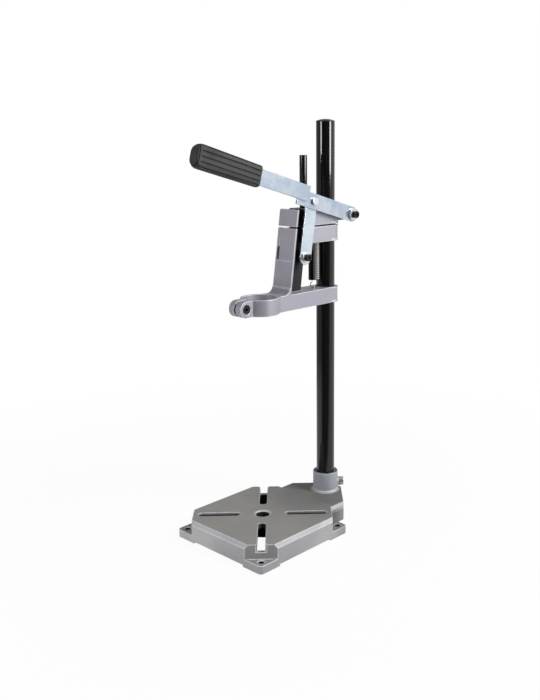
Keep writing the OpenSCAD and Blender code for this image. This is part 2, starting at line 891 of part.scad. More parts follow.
hook_steps = 14;
hook_path = [for (i = [0:hook_steps]) hook_point(-160 + i * 250 / hook_steps)];
neck_steps = 8;
neck_r = hook_r - hook_shift;
neck_turn = 225;
neck_path = [for (i = [1:neck_steps])
    let (s = i / neck_steps)
    spring_point(neck_r + (spring_mean_r - neck_r) * s, hook_turn + neck_turn * s * s,
                 hook_z + (coil_start_z - hook_z) * (1 - pow(1 - s, 1.6)))];
coil_steps = spring_coils * curl_rings;
coil_pitch = (coil_end_z - coil_start_z) / spring_coils;
coil_path = [for (i = [1:coil_steps])
    spring_point(spring_mean_r, hook_turn + neck_turn + i * 360 / curl_rings,
                 coil_start_z + coil_pitch * i / curl_rings)];
tail_a = hook_turn + neck_turn;
tail_path = [spring_point(spring_mean_r, tail_a + 28, coil_end_z + 0.5),
             spring_point(spring_mean_r, tail_a + 42, coil_end_z + 1.4),
             spring_point(spring_mean_r, tail_a + 45, coil_end_z + 2.2),
             spring_point(spring_mean_r, tail_a + 45, head_z)];
spring_path = concat(hook_path, neck_path, coil_path, tail_path);

// Unit direction of a path at point i
function direction(path, i) =
    let (d = path[min(i + 1, len(path) - 1)] - path[max(i - 1, 0)])
    d / norm(d);

// A side vector square to a direction, near the last one
function square_to(d, last) =
    let (v = last - d * (d * last))
    v / norm(v);

// Side vectors carried along the path without twist
function side_vectors(path, i = 0, last = [0.3, 0.2, 1], out = []) =
    i == len(path) ? out :
    let (v = square_to(direction(path, i), last))
    side_vectors(path, i + 1, v, concat(out, [v]));

// A round tube along a path, with its ends closed
module tube(path, r, sides) {
    side = side_vectors(path);
    n = len(path);
    points = [for (i = [0:n - 1], k = [0:sides - 1])
        let (d = direction(path, i), a = k * 360 / sides)
        path[i] + r * (cos(a) * side[i] + sin(a) * cross(d, side[i]))];
    walls = [for (i = [0:n - 2], k = [0:sides - 1], half_face = [0, 1])
        let (k2 = (k + 1) % sides, a = i * sides + k, b = i * sides + k2)
        half_face == 0 ? [a, b + sides, b] : [a, a + sides, b + sides]];
    caps = [for (k = [1:sides - 2], end = [0, 1])
        let (first = end * (n - 1) * sides)
        end == 0 ? [first, first + k, first + k + 1] : [first, first + k + 1, first + k]];
    polyhedron(points, concat(walls, caps), convexity = 20);
}

// Least gap of the spring to itself, between points more than half a curl apart along the wire
self_gaps = [for (i = [0:len(spring_path) - 2])
    let (far = [for (j = [i + 6:1:min(i + 40, len(spring_path) - 1)]) norm(spring_path[i] - spring_path[j])])
    if (len(far) > 0) min(far) - spring_wire];
echo(spring_least_gap = min(self_gaps));

module return_spring() {
    color([0.55, 0.56, 0.57])
        tube(spring_path, spring_wire / 2, tube_sides);
}

base_plate();
socket_screw();
column();
column_cap();
clamp_block();
block_grub_screw();
guide_rod();
pivot_bolt();
pivot_spacer();
pivot_washer();
pivot_nut();
carriage();
stop_rod();
collar_screw();
link_bolt();
link_washer();
carriage_nuts();
return_spring();
feed_link();
lever_plate();
lever_bar();
lever_grip();
link_rivet();
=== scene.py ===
"""Dresses the drill stand: softened castings, a wound spring, a moulded grip, finishes, studio and camera."""

import logging
import math
from dataclasses import dataclass
from enum import Enum
from typing import Dict, List, Sequence, Tuple, Type

import bpy
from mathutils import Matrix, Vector


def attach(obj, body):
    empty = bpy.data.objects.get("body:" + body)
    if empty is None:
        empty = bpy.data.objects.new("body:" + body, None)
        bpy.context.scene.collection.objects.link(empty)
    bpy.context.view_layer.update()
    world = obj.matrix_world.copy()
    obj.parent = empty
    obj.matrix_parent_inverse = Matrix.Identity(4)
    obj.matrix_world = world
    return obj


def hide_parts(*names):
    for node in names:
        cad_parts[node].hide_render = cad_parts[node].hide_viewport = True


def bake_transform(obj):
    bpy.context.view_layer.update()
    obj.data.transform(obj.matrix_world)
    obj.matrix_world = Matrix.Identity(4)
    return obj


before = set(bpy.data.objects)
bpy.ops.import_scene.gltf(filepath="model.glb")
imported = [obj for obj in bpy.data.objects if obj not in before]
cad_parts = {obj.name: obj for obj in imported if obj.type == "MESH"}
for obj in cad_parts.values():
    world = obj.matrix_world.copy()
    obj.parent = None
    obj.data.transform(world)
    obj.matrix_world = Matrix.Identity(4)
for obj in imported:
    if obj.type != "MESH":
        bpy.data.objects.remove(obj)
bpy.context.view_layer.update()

LOG = logging.getLogger("drill_stand")
MM = 0.001
FLOAT = "NodeSocketFloat"
VECTOR = "NodeSocketVector"
WHITE = (1.0, 1.0, 1.0, 1.0)

Color = Tuple[float, float, float]
Point = Tuple[float, float, float]
Span = Tuple[float, float]
Tree = bpy.types.NodeTree
Node = bpy.types.Node
Socket = bpy.types.NodeSocket
Material = bpy.types.Material
Piece = bpy.types.Object


class Body(str, Enum):
    """The moving bodies of the stand."""

    BASE = "base"
    COLUMN = "column"
    HEAD = "head"
    CARRIAGE = "carriage"
    LEVER = "lever"
    LINK = "link"


class Along(Enum):
    """Direction in which a drawn or brushed surface runs, as a stretch of its pattern in X, Y and Z."""

    LENGTH_Y = (1.0, 0.06, 1.0)
    HEIGHT_Z = (1.0, 1.0, 0.03)
    EVEN = (1.0, 1.0, 1.0)


class Lit(Enum):
    """What a lamp does: whether it lights matt surfaces, and whether it shows in reflections."""

    BOTH = (True, True)
    MATT = (True, False)
    MIRRORED = (False, True)


# Shader building


class Graph:
    """A node tree with short ways to add and join nodes."""

    def __init__(self, tree: Tree) -> None:
        """Keeps the tree that nodes are added to."""
        self.tree = tree

    def feed(self, socket: Socket, value: object) -> None:
        """Links a socket to the input, or sets its value.

        Args:
            socket: The input socket.
            value: An output socket, a number or a list.
        """
        if isinstance(value, Socket):
            self.tree.links.new(value, socket)
        else:
            socket.default_value = value

    def fill(self, node: Node, inputs: Dict[str, object]) -> Node:
        """Fills the inputs of a node.

        Args:
            node: The node.
            inputs: Values or sockets by input name, with spaces written as underscores.

        Returns:
            The same node.
        """
        for name, value in inputs.items():
            self.feed(node.inputs[name.replace("_", " ")], value)
        return node

    def add(self, kind: str, **inputs: object) -> Node:
        """Adds a node of one of Blender's kinds and fills its inputs."""
        return self.fill(self.tree.nodes.new(kind), inputs)

    def group(self, tree: Tree, **inputs: object) -> Node:
        """Places a node group and fills its inputs.

        Args:
            tree: The group's tree.
            **inputs: Values or sockets by input name, with spaces written as underscores.

        Returns:
            The group node.
        """
        node = self.add("ShaderNodeGroup")
        node.node_tree = tree
        return self.fill(node, inputs)

    def math(self, operation: str, a: object, b: object = 0.0, clamp: bool = False) -> Socket:
        """Adds a Math node.

        Args:
            operation: Blender's name of the operation.
            a: First value or socket.
            b: Second value or socket.
            clamp: Whether the result is kept between 0 and 1.

        Returns:
            The node's output socket.
        """
        node = self.add("ShaderNodeMath")
        node.operation = operation
        node.use_clamp = clamp
        self.feed(node.inputs[0], a)
        self.feed(node.inputs[1], b)
        return node.outputs[0]

    def product(self, first: object, *others: object) -> Socket:
        """Multiplies values, or joins masks that all have to hold.

        Args:
            first: First value or socket.
            *others: The other values or sockets.

        Returns:
            The product.
        """
        for other in others:
            first = self.math("MULTIPLY", first, other)
        return first

    def below(self, value: object, limit: float) -> Socket:
        """Gives 1 where a value is below a limit, and else 0."""
        return self.math("LESS_THAN", value, limit)

    def above(self, value: object, limit: float) -> Socket:
        """Gives 1 where a value is above a limit, and else 0."""
        return self.math("GREATER_THAN", value, limit)

    def vector(self, operation: str, a: object, b: object = (0.0, 0.0, 0.0)) -> Socket:
        """Adds a Vector Math node.

        Args:
            operation: Blender's name of the operation.
            a: First vector or socket.
            b: Second vector or socket.

        Returns:
            A number for a distance, a length or a dot product, and else a vector.
        """
        node = self.add("ShaderNodeVectorMath")
        node.operation = operation
        self.feed(node.inputs[0], a)
        self.feed(node.inputs[1], b)
        return node.outputs["Value" if operation in ("DISTANCE", "LENGTH", "DOT_PRODUCT") else "Vector"]

    def split(self, vector: Socket) -> Sequence[Socket]:
        """Splits a vector into its parts along X, Y and Z."""
        return tuple(self.add("ShaderNodeSeparateXYZ", Vector=vector).outputs)

    def noise(self, place: Socket, scale: object, detail: float, roughness: float = 0.5) -> Socket:
        """Adds a noise pattern of a fineness, with finer layers of a strength, and gives its value."""
        node = self.add("ShaderNodeTexNoise", Vector=place, Scale=scale, Detail=detail, Roughness=roughness)
        return node.outputs[0]

    def attribute(self, name: str) -> Socket:
        """Reads a value that a mesh stores.

        Args:
            name: The value's name.

        Returns:
            The value.
        """
        node = self.add("ShaderNodeAttribute")
        node.attribute_name = name
        return node.outputs["Fac"]

    def ramp(self, value: object, span: Span, levels: Span = (0.0, 1.0)) -> Socket:
        """Maps a value from one range to another, smoothly and clamped.

        Args:
            value: The socket that is mapped.
            span: Start and end of the input range.
            levels: Results at the start and the end.

        Returns:
            The mapped socket.
        """
        node = self.add("ShaderNodeMapRange")
        node.interpolation_type = "SMOOTHSTEP"
        for socket, part in zip(node.inputs, (value, *span, *levels)):
            self.feed(socket, part)
        return node.outputs[0]

    def mix(self, factor: object, a: object, b: object, blend: str = "MIX") -> Socket:
        """Mixes two colours.

        Args:
            factor: Share of the second colour.
            a: First colour or socket.
            b: Second colour or socket.
            blend: Blender's blend type.

        Returns:
            The mixed colour socket.
        """
        node = self.add("ShaderNodeMix")
        node.data_type = "RGBA"
        node.blend_type = blend
        self.feed(node.inputs[0], factor)
        for index, part in ((6, a), (7, b)):
            self.feed(node.inputs[index], (*part, 1.0) if isinstance(part, tuple) else part)
        return node.outputs[2]

    def shade(self, share: object, color: object, tint: Color) -> Socket:
        """Multiplies a colour by a tint, as far as a share says."""
        return self.mix(share, color, tint, "MULTIPLY")


def new_group(name: str, inputs: Sequence[Tuple[str, str, object]],
              outputs: Sequence[str]) -> Tuple[Graph, Node, Node]:
    """Starts a shader node group.

    Args:
        name: The group's name.
        inputs: Name, socket type and starting value of each input.
        outputs: Name of each output, all of them numbers.

    Returns:
        The group's graph, its input node and its output node.
    """
    tree = bpy.data.node_groups.new(name, "ShaderNodeTree")
    for label, kind, value in inputs:
        socket = tree.interface.new_socket(label, in_out="INPUT", socket_type=kind)
        if value is not None:
            socket.default_value = value
    for label in outputs:
        tree.interface.new_socket(label, in_out="OUTPUT", socket_type=FLOAT)
    return Graph(tree), tree.nodes.new("NodeGroupInput"), tree.nodes.new("NodeGroupOutput")


def make_grain_group() -> Tree:
    """Cast grain: a fine pebbled height with broad stains, pits and tints.

    Returns:
        The group, with outputs Height, Stain, Pits and Tint.
    """
    g, start, end = new_group("cast_grain", [("Vector", VECTOR, None), ("Size", FLOAT, 900.0)],
                              ["Height", "Stain", "Pits", "Tint"])
    place, size = start.outputs[0], start.outputs[1]
    cells = g.add("ShaderNodeTexVoronoi", Vector=place, Scale=g.math("MULTIPLY", size, 0.35))
    g.fill(end, {"Height": g.noise(place, scale=size, detail=3.0, roughness=0.6),
                 "Stain": g.ramp(g.noise(place, scale=22.0, detail=4.0, roughness=0.55), (0.32, 0.68)),
                 "Pits": g.ramp(cells.outputs[0], (0.05, 0.22), (1.0, 0.0)),
                 "Tint": g.ramp(g.noise(place, scale=31.0, detail=2.0), (0.35, 0.65))})
    return g.tree


def make_brush_group() -> Tree:
    """Drawn lines: long scratches along a stretched direction with cloudy plating over them.

    Returns:
        The group, with outputs Lines and Cloud.
    """
    g, start, end = new_group("drawn_lines",
                              [("Vector", VECTOR, None), ("Stretch", VECTOR, Along.EVEN.value)],
                              ["Lines", "Cloud"])
    place, stretch = start.outputs[0], start.outputs[1]
    drawn = g.vector("MULTIPLY", place, stretch)
    g.fill(end, {"Lines": g.ramp(g.noise(drawn, scale=1400.0, detail=2.0, roughness=0.7), (0.3, 0.7)),
                 "Cloud": g.ramp(g.noise(place, scale=48.0, detail=3.0), (0.3, 0.7))})
    return g.tree


def make_edge_group() -> Tree:
    """Edge wear and painted highlight: the softened edges of a piece are lightened, broken up by noise.

    Returns:
        The group, with the output WearSheen.
    """
    g, start, end = new_group("edge_wear_sheen", [("Vector", VECTOR, None), ("Strength", FLOAT, 1.0)], ["WearSheen"])
    place, strength = start.outputs[0], start.outputs[1]
    broken = g.ramp(g.noise(place, scale=160.0, detail=3.0), (0.25, 0.6), (0.35, 1.0))
    # Lightened edges: partly wear, partly painted highlight.
    share = g.math("MULTIPLY", g.attribute("soft_edge"), broken)
    g.fill(end, {"WearSheen": g.math("MULTIPLY", share, strength, clamp=True)})
    return g.tree


@dataclass(frozen=True)
class Groups:
    """The shared effects."""

    grain: Tree
    brush: Tree
    edge: Tree


def make_groups() -> Groups:
    """Builds the shared effects once."""
    return Groups(make_grain_group(), make_brush_group(), make_edge_group())


@dataclass(frozen=True)
class Canvas:
    """What a finish is painted on: a material's graph, the place on the piece and the shared effects."""

    g: Graph
    place: Socket
    groups: Groups

    def grain(self, size: float) -> Node:
        """Lays the cast grain over the piece."""
        return self.g.group(self.groups.grain, Vector=self.place, Size=size)

    def brush(self, stretch: Along) -> Node:
        """Draws lines over the piece."""
        return self.g.group(self.groups.brush, Vector=self.place, Stretch=stretch.value)

    def wear_sheen(self, strength: float) -> Socket:
        """Finds the softened edges of the piece, lightened partly for wear and partly as a painted highlight.
        """
        return self.g.group(self.groups.edge, Vector=self.place, Strength=strength).outputs["WearSheen"]


# Painted shade and tints on the castings


@dataclass
class Marks:
    """Painted shade and tints on a casting, found by their place."""

    g: Graph
    place: Socket
    facing: Sequence[Socket]
    upward: Socket

    def __post_init__(self) -> None:
        """Splits the place, and folds it about the middle plane of the stand."""
        self.x, self.y, self.z = self.g.split(self.place)
        self.side_x = self.g.math("ABSOLUTE", self.x)

    def paint(self, color: Socket, rough: Socket) -> Tuple[Socket, Socket]:
        """Adds the marks to a colour and a roughness; each casting has its own."""
        raise NotImplementedError


@dataclass(frozen=True)
class RoundHole:
    """A round hole of the base: how far out its axis lies on X and Y, its radius and its wall's top."""

    out: float
    radius: float
    top: float


@dataclass
class TableMarks(Marks):
    """The base: painted shade round the socket, in the inner corners, on the diagonal walls, in the slots and
    underneath, and a bluer socket.
    """

    column_at: Point = (0.0, 124 * MM, 0.0)
    table_reach: Span = (30 * MM, 150 * MM)
    table_share: float = 0.8
    inner_corner: Point = (53 * MM, 77 * MM, 0.0)
    corner_reach: Span = (2 * MM, 44 * MM)
    corner_share: float = 0.95
    wall_top: Span = (21 * MM, 24 * MM)
    socket_front: Span = (98 * MM, 102 * MM)
    socket_foot: Span = (27.5 * MM, 31 * MM)
    diagonal: Span = (0.3, 0.45)
    cut_from: float = 124 * MM
    ear_top: float = 10.8 * MM
    table_back: float = 85 * MM
    slot_half: float = 5.9 * MM
    slot_ends: Span = (29 * MM, 86 * MM)
    open_top: Span = (29.1 * MM, 29.95 * MM)
    closed_foot: Span = (25.6 * MM, 29.7 * MM)
    closed_share: float = 0.95
    hollow_half: float = 73.6 * MM
    hollow_cut: float = 121.6 * MM
    hollow_top: float = 22.3 * MM
    ear_hole: RoundHole = RoundHole(70 * MM, 3.7 * MM, 10.2 * MM)
    work_hole: RoundHole = RoundHole(0.0, 9.2 * MM, 28.2 * MM)
    hollow_shade_black: Color = (0.03, 0.03, 0.03)

    def __post_init__(self) -> None:
        """Also folds the place about the middle plane across the table."""
        super().__post_init__()
        self.side_y = self.g.math("ABSOLUTE", self.y)

    def paint(self, color: Socket, rough: Socket) -> Tuple[Socket, Socket]:
        """Paints shade round the socket, in the inner corners, on the diagonal walls, in the slots and in the
        hollow and holes, and tints the socket.

        Args:
            color: The casting's colour.
            rough: The casting's roughness.

        Returns:
            The marked colour and the same roughness.
        """
        # Each mask darkens with painted shade, except the socket's own bluer tint.
        for mask, tint in ((self.socket_shade(), (0.5, 0.51, 0.52)),
                           (self.corner_shade(), (0.3, 0.31, 0.31)),
                           (self.socket(), (0.84, 0.87, 0.94)),
                           (self.corner_walls(), (0.7, 0.71, 0.67)),
                           (self.slots(), (0.16, 0.16, 0.16))):
            color = self.g.shade(mask, color, tint)
        # The hollow and the holes are painted black: painted shade.
        return self.g.mix(self.hollow(), color, self.hollow_shade_black), rough

    def socket_shade(self) -> Socket:
        """Grades painted shade on the table, darkest at the column's socket and fading outwards.

        Returns:
            The share of grime.
        """
        g = self.g
        flat = g.vector("MULTIPLY", self.place, (1.0, 1.0, 0.0))
        away = g.vector("DISTANCE", flat, self.column_at)
        # Painted shade round the socket.
        return g.product(g.ramp(away, self.table_reach, (self.table_share, 0.0)), self.upward)

    def corner_shade(self) -> Socket:
        """Grades painted shade on the walls, darkest at the inner corners beside the tongue and fading
        outwards.

        Returns:
            The share of grime.
        """
        g = self.g
        flat = g.add("ShaderNodeCombineXYZ", X=self.side_x, Y=self.y)
        away = g.vector("DISTANCE", flat.outputs[0], self.inner_corner)
        walls = g.ramp(self.z, self.wall_top, (1.0, 0.0))
        sideways = g.math("SUBTRACT", 1.0, self.upward)
        # Painted shade in the inner corners.
        return g.product(g.ramp(away, self.corner_reach, (self.corner_share, 0.0)), walls, sideways)

    def socket(self) -> Socket:
        """Finds the column's socket, which is a darker and bluer grey."""
        return self.g.product(self.g.ramp(self.z, self.socket_foot), self.g.ramp(self.y, self.socket_front))

    def corner_walls(self) -> Socket:
        """Finds the diagonal walls above the ears, also by the way that they face, for painted shade.

        Returns:
            A mask, 1 on the diagonal walls.
        """
        g = self.g
        turned = g.math("ABSOLUTE", g.math("MULTIPLY", self.facing[0], self.facing[1]))
        outer = g.above(g.math("ADD", self.side_x, self.side_y), self.cut_from)
        zone = g.product(outer, g.above(self.z, self.ear_top), g.below(self.y, self.table_back))
        # Painted shade on the diagonal walls.
        return g.product(g.ramp(turned, self.diagonal), zone)

    def slots(self) -> Socket:
        """Finds the walls of the slots for painted shade: the open ones up to the table, the closed ones at
        the foot.

        Returns:
            A mask, 1 low on the walls and 0 at the table.
        """
        g = self.g
        beside = g.math("ABSOLUTE", g.math("SUBTRACT", self.side_x, self.side_y))
        along = g.math("ADD", self.side_x, self.side_y)
        start, end = (part * math.sqrt(2) for part in self.slot_ends)
        inside = g.product(g.below(beside, self.slot_half * math.sqrt(2)), g.above(along, start),
                           g.below(along, end))
        is_open = g.below(g.math("MULTIPLY", self.x, self.y), 0.0)
        open_slot_shade = g.product(g.ramp(self.z, self.open_top, (1.0, 0.0)), is_open)
        low = g.math("MAXIMUM", open_slot_shade, g.ramp(self.z, self.closed_foot, (self.closed_share, 0.0)))
        # Painted shade low in the slots.
        return g.product(inside, low)

    def hollow(self) -> Socket:
        """Finds the hollow under the table and the walls of the round holes, for painted black shade.

        Returns:
            A mask, 1 in the hollow and the holes.
        """
        g = self.g
        walls = g.below(g.math("MAXIMUM", self.side_x, self.side_y), self.hollow_half)
        corners = g.below(g.math("ADD", self.side_x, self.side_y), self.hollow_cut)
        mask = g.product(walls, corners, g.below(self.z, self.hollow_top))
        for hole in (self.ear_hole, self.work_hole):
            off = (g.math("SUBTRACT", part, hole.out) for part in (self.side_x, self.side_y))
            square = g.math("ADD", *(g.product(part, part) for part in off))
            inside = g.product(g.below(square, hole.radius * hole.radius), g.below(self.z, hole.top))
            mask = g.math("MAXIMUM", mask, inside)
        return mask


@dataclass
class HeadMarks(Marks):
    """The block and the carriage: painted shade, black, in the recess behind the leaning front."""

    lean: float = 0.1459
    lean_from: float = -6.6 * MM
    recess_back: float = 71.3 * MM
    rib_half: float = 6 * MM
    rib_top: float = 383.8 * MM
    rib_back: float = 81.5 * MM
    arm_top: float = 321.4 * MM
    black: Color = (0.01, 0.011, 0.01)
    rougher: float = 0.2

    def paint(self, color: Socket, rough: Socket) -> Tuple[Socket, Socket]:
        """Paints the recess black: painted shade.

        Args:
            color: The casting's colour.
            rough: The casting's roughness.

        Returns:
            The marked colour and roughness.
        """
        g = self.g
        behind = g.above(g.math("SUBTRACT", self.y, g.math("MULTIPLY", self.z, self.lean)), self.lean_from)
        rib = g.product(g.below(self.side_x, self.rib_half), g.below(self.z, self.rib_top),
                        g.below(self.y, self.rib_back))
        zone = g.math("MAXIMUM", g.below(self.y, self.recess_back), rib)
        mask = g.product(behind, zone, g.above(self.z, self.arm_top))
        # Painted shade: the recess goes black and a little rougher.
        return g.mix(mask, color, self.black), g.math("ADD", rough, g.math("MULTIPLY", mask, self.rougher))


# Finishes


@dataclass(frozen=True)
class Skin:
    """What a finish hands to its shader."""

    color: Socket
    roughness: Socket
    height: Socket


@dataclass(frozen=True, kw_only=True)
class Finish:
    """A material of the stand: its name and the plain settings of its shader."""

    name: str
    roughness: float
    uneven: Span
    relief: float
    relief_depth: float
    metallic: float = 0.0
    level: float = 0.5

    def build(self, groups: Groups) -> Material:
        """Makes the material.

        Args:
            groups: The shared effects.

        Returns:
            The material.
        """
        material = bpy.data.materials.new(self.name)
        material.use_nodes = True
        g = Graph(material.node_tree)
        shader = g.tree.nodes["Principled BSDF"]
        skin = self.paint(Canvas(g, g.add("ShaderNodeTexCoord").outputs["Object"], groups))
        g.feed(shader.inputs["Base Color"], skin.color)
        g.feed(shader.inputs["Roughness"], skin.roughness)
        shader.inputs["Metallic"].default_value = self.metallic
        shader.inputs["Specular IOR Level"].default_value = self.level
        bump = g.add("ShaderNodeBump", Height=skin.height)
        bump.inputs["Strength"].default_value = self.relief
        bump.inputs["Distance"].default_value = self.relief_depth
        g.feed(shader.inputs["Normal"], bump.outputs[0])
        return material

    def vary(self, g: Graph, pattern: Socket) -> Socket:
        """Lets the roughness change a little with a pattern."""
        return g.ramp(pattern, (0.0, 1.0), tuple(self.roughness + part for part in self.uneven))

    def paint(self, canvas: Canvas) -> Skin:
        """Mixes the colour, roughness and height; each finish has its own way."""
        raise NotImplementedError


@dataclass(frozen=True, kw_only=True)
class CastFinish(Finish):
    """Satin cast light alloy with painted shade on its top faces, edges lightened by wear and painted
    highlight, and its own marks by place.
    """

    uneven: Span = (-0.05, 0.07)
    relief_depth: float = 0.4 * MM
    side: Color
    top: Color
    wear_sheen: Color
    wear_sheen_strength: float
    grain_size: float
    marks: Type[Marks]
    top_facing: Span = (0.6, 0.95)
    tint: Color = (0.95, 0.95, 1.0)
    stain: Color = (0.9, 0.9, 0.92)
    stain_share: float = 0.16
    pit: Color = (0.55, 0.55, 0.57)
    pit_share: float = 0.22

    def paint(self, canvas: Canvas) -> Skin:
        """Mixes the grain, the painted shade of the top faces, the edges' wear and painted highlight, and the
        marks.

        Args:
            canvas: What the finish is painted on.

        Returns:
            What the shader is fed.
        """
        g, grain = canvas.g, canvas.grain(self.grain_size)
        facing = g.split(g.add("ShaderNodeNewGeometry").outputs["True Normal"])
        upward = g.ramp(facing[2], self.top_facing)
        # Top faces take a darker colour than the sides: painted shade.
        color = g.mix(upward, self.side, self.top)
        color = g.shade(grain.outputs["Tint"], color, self.tint)
        color = g.shade(g.math("MULTIPLY", grain.outputs["Stain"], self.stain_share), color, self.stain)
        color = g.shade(g.math("MULTIPLY", grain.outputs["Pits"], self.pit_share), color, self.pit)
        # Lightened edges: partly wear, partly painted highlight.
        color = g.mix(canvas.wear_sheen(self.wear_sheen_strength), color, self.wear_sheen)
        rough = self.vary(g, grain.outputs["Stain"])
        color, rough = self.marks(g, canvas.place, facing, upward).paint(color, rough)
        return Skin(color, rough, grain.outputs["Height"])


@dataclass(frozen=True, kw_only=True)
class PlatedFinish(Finish):
    """Bright zinc on drawn strip: faint lines along the strip and cloudy blue tints."""

    uneven: Span = (-0.03, 0.04)
    relief: float = 0.01
    relief_depth: float = 0.2 * MM
    metallic: float = 0.85
    color: Color
    tint: Color
    stretch: Along = Along.EVEN
    line: Color = (0.8, 0.82, 0.86)
    line_share: float = 0.07
    wear_sheen: Color = (0.86, 0.88, 0.9)
    wear_sheen_strength: float = 0.25

    def paint(self, canvas: Canvas) -> Skin:
        """Mixes the cloudy plating, the lines and the edges' wear and painted highlight.

        Args:
            canvas: What the finish is painted on.

        Returns:
            What the shader is fed.
        """
        g, brush = canvas.g, canvas.brush(self.stretch)
        color = g.mix(brush.outputs["Cloud"], self.color, self.tint)
        color = g.shade(g.math("MULTIPLY", brush.outputs["Lines"], self.line_share), color, self.line)
        # Lightened edges: partly wear, partly painted highlight.
        color = g.mix(canvas.wear_sheen(self.wear_sheen_strength), color, self.wear_sheen)
        return Skin(color, self.vary(g, brush.outputs["Lines"]), brush.outputs["Lines"])


@dataclass(frozen=True, kw_only=True)
class WireFinish(Finish):
    """Bright spring wire, with painted shade on the inner side of the coils and on the hook."""

    uneven: Span = (0.0, 0.08)
    relief: float = 0.02
    relief_depth: float = 0.1 * MM
    metallic: float = 0.9
    outer: Color
    inner: Color
    cloud: Color = (0.75, 0.76, 0.78)
    cloud_share: float = 0.3

    def paint(self, canvas: Canvas) -> Skin:
        """Mixes the bright outer side and the painted shade of the inner side.

        Args:
            canvas: What the finish is painted on.

        Returns:
            What the shader is fed.
        """
        g, brush = canvas.g, canvas.brush(Along.EVEN)
        # Painted shade on the inner side of the coils and on the hook.
        color = g.mix(g.attribute("inner_side"), self.outer, self.inner)
        color = g.shade(g.math("MULTIPLY", brush.outputs["Cloud"], self.cloud_share), color, self.cloud)
        return Skin(color, self.vary(g, brush.outputs["Lines"]), brush.outputs["Lines"])


@dataclass(frozen=True, kw_only=True)
class BlackFinish(Finish):
    """Black steel: deep black with a gloss that changes a little along the drawn length."""

    uneven: Span = (0.0, 0.04)
    relief: float = 0.005
    relief_depth: float = 0.1 * MM
    color: Color
    stretch: Along = Along.EVEN
    cloud_gain: float = 1.7
    cloud_share: float = 0.5
    wear_sheen_gain: float = 4.0
    wear_sheen_lift: float = 0.03
    wear_sheen_strength: float = 0.5

    def paint(self, canvas: Canvas) -> Skin:
        """Mixes the cloudy black and the edges' wear and painted highlight.

        Args:
            canvas: What the finish is painted on.

        Returns:
            What the shader is fed.
        """
        g, brush = canvas.g, canvas.brush(self.stretch)
        paler = tuple(part * self.cloud_gain for part in self.color)
        # Lightened edges: partly wear, partly painted highlight.
        worn_sheen = tuple(part * self.wear_sheen_gain + self.wear_sheen_lift for part in self.color)
        color = g.mix(g.math("MULTIPLY", brush.outputs["Cloud"], self.cloud_share), self.color, paler)
        color = g.mix(canvas.wear_sheen(self.wear_sheen_strength), color, worn_sheen)
        return Skin(color, self.vary(g, brush.outputs["Cloud"]), brush.outputs["Lines"])


@dataclass(frozen=True, kw_only=True)
class GripFinish(Finish):
    """Moulded grip: charcoal with a fine matt grain, and painted shade in the grooves."""

    uneven: Span = (0.0, 0.12)
    relief: float = 0.1
    relief_depth: float = 0.3 * MM
    level: float = 0.4
    rib: Color
    groove: Color
    grain_size: float = 1900.0
    stain: Color = (0.78, 0.78, 0.8)
    stain_share: float = 0.25
    pit: Color = (1.5, 1.5, 1.5)
    pit_share: float = 0.15

    def paint(self, canvas: Canvas) -> Skin:
        """Mixes the ribs, the grooves' painted shade and the grain.

        Args:
            canvas: What the finish is painted on.

        Returns:
            What the shader is fed.
        """
        g, grain = canvas.g, canvas.grain(self.grain_size)
        # The grooves are darkened: painted shade.
        color = g.mix(g.attribute("groove_depth"), self.rib, self.groove)
        color = g.shade(g.math("MULTIPLY", grain.outputs["Stain"], self.stain_share), color, self.stain)
        color = g.shade(g.math("MULTIPLY", grain.outputs["Pits"], self.pit_share), color, self.pit)
        return Skin(color, self.vary(g, grain.outputs["Stain"]), grain.outputs["Height"])


@dataclass
class Palette:
    """All finishes of the stand, built once."""

    groups: Groups

    def __post_init__(self) -> None:
        """Builds the materials."""
        groups = self.groups
        self.base = CastFinish(name="cast_table", side=(0.45, 0.45, 0.45), top=(0.305, 0.298, 0.277),
                               wear_sheen=(0.74, 0.75, 0.8), wear_sheen_strength=0.52, roughness=0.63, metallic=0.34,
                               level=0.3, grain_size=1100.0, relief=0.14, marks=TableMarks).build(groups)
        self.head = CastFinish(name="cast_head", side=(0.345, 0.338, 0.379), top=(0.32, 0.313, 0.346),
                               wear_sheen=(0.68, 0.68, 0.72), wear_sheen_strength=0.8, roughness=0.54, metallic=0.35,
                               grain_size=1300.0, relief=0.1, marks=HeadMarks).build(groups)
        self.strap = PlatedFinish(name="zinc_strap", color=(0.42, 0.5, 0.615), tint=(0.575, 0.63, 0.695),
                                  roughness=0.2, stretch=Along.LENGTH_Y).build(groups)
        self.link = PlatedFinish(name="zinc_link", color=(0.56, 0.665, 0.75), tint=(0.67, 0.745, 0.8),
                                 roughness=0.2, stretch=Along.HEIGHT_Z).build(groups)
        self.small = PlatedFinish(name="zinc_small", color=(0.62, 0.64, 0.67), tint=(0.72, 0.73, 0.74),
                                  roughness=0.26).build(groups)
        self.plain = PlatedFinish(name="zinc_plain", color=(0.34, 0.35, 0.32), tint=(0.42, 0.42, 0.38),
                                  roughness=0.34).build(groups)
        self.wire = WireFinish(name="bright_wire", outer=(0.55, 0.56, 0.54), inner=(0.013, 0.013, 0.013),
                               roughness=0.26).build(groups)
        self.tube = BlackFinish(name="black_tube", color=(0.003, 0.0033, 0.0026), roughness=0.06,
                                stretch=Along.HEIGHT_Z).build(groups)
        self.screw = BlackFinish(name="black_bolt", color=(0.008, 0.008, 0.008), roughness=0.3,
                                 level=0.25).build(groups)
        self.cap = BlackFinish(name="black_cap", color=(0.01, 0.01, 0.01), roughness=0.32,
                               level=0.25).build(groups)
        self.grip = GripFinish(name="charcoal_grip", rib=(0.021, 0.021, 0.022), groove=(0.002, 0.002, 0.002),
                               roughness=0.6).build(groups)


# Modelling helpers


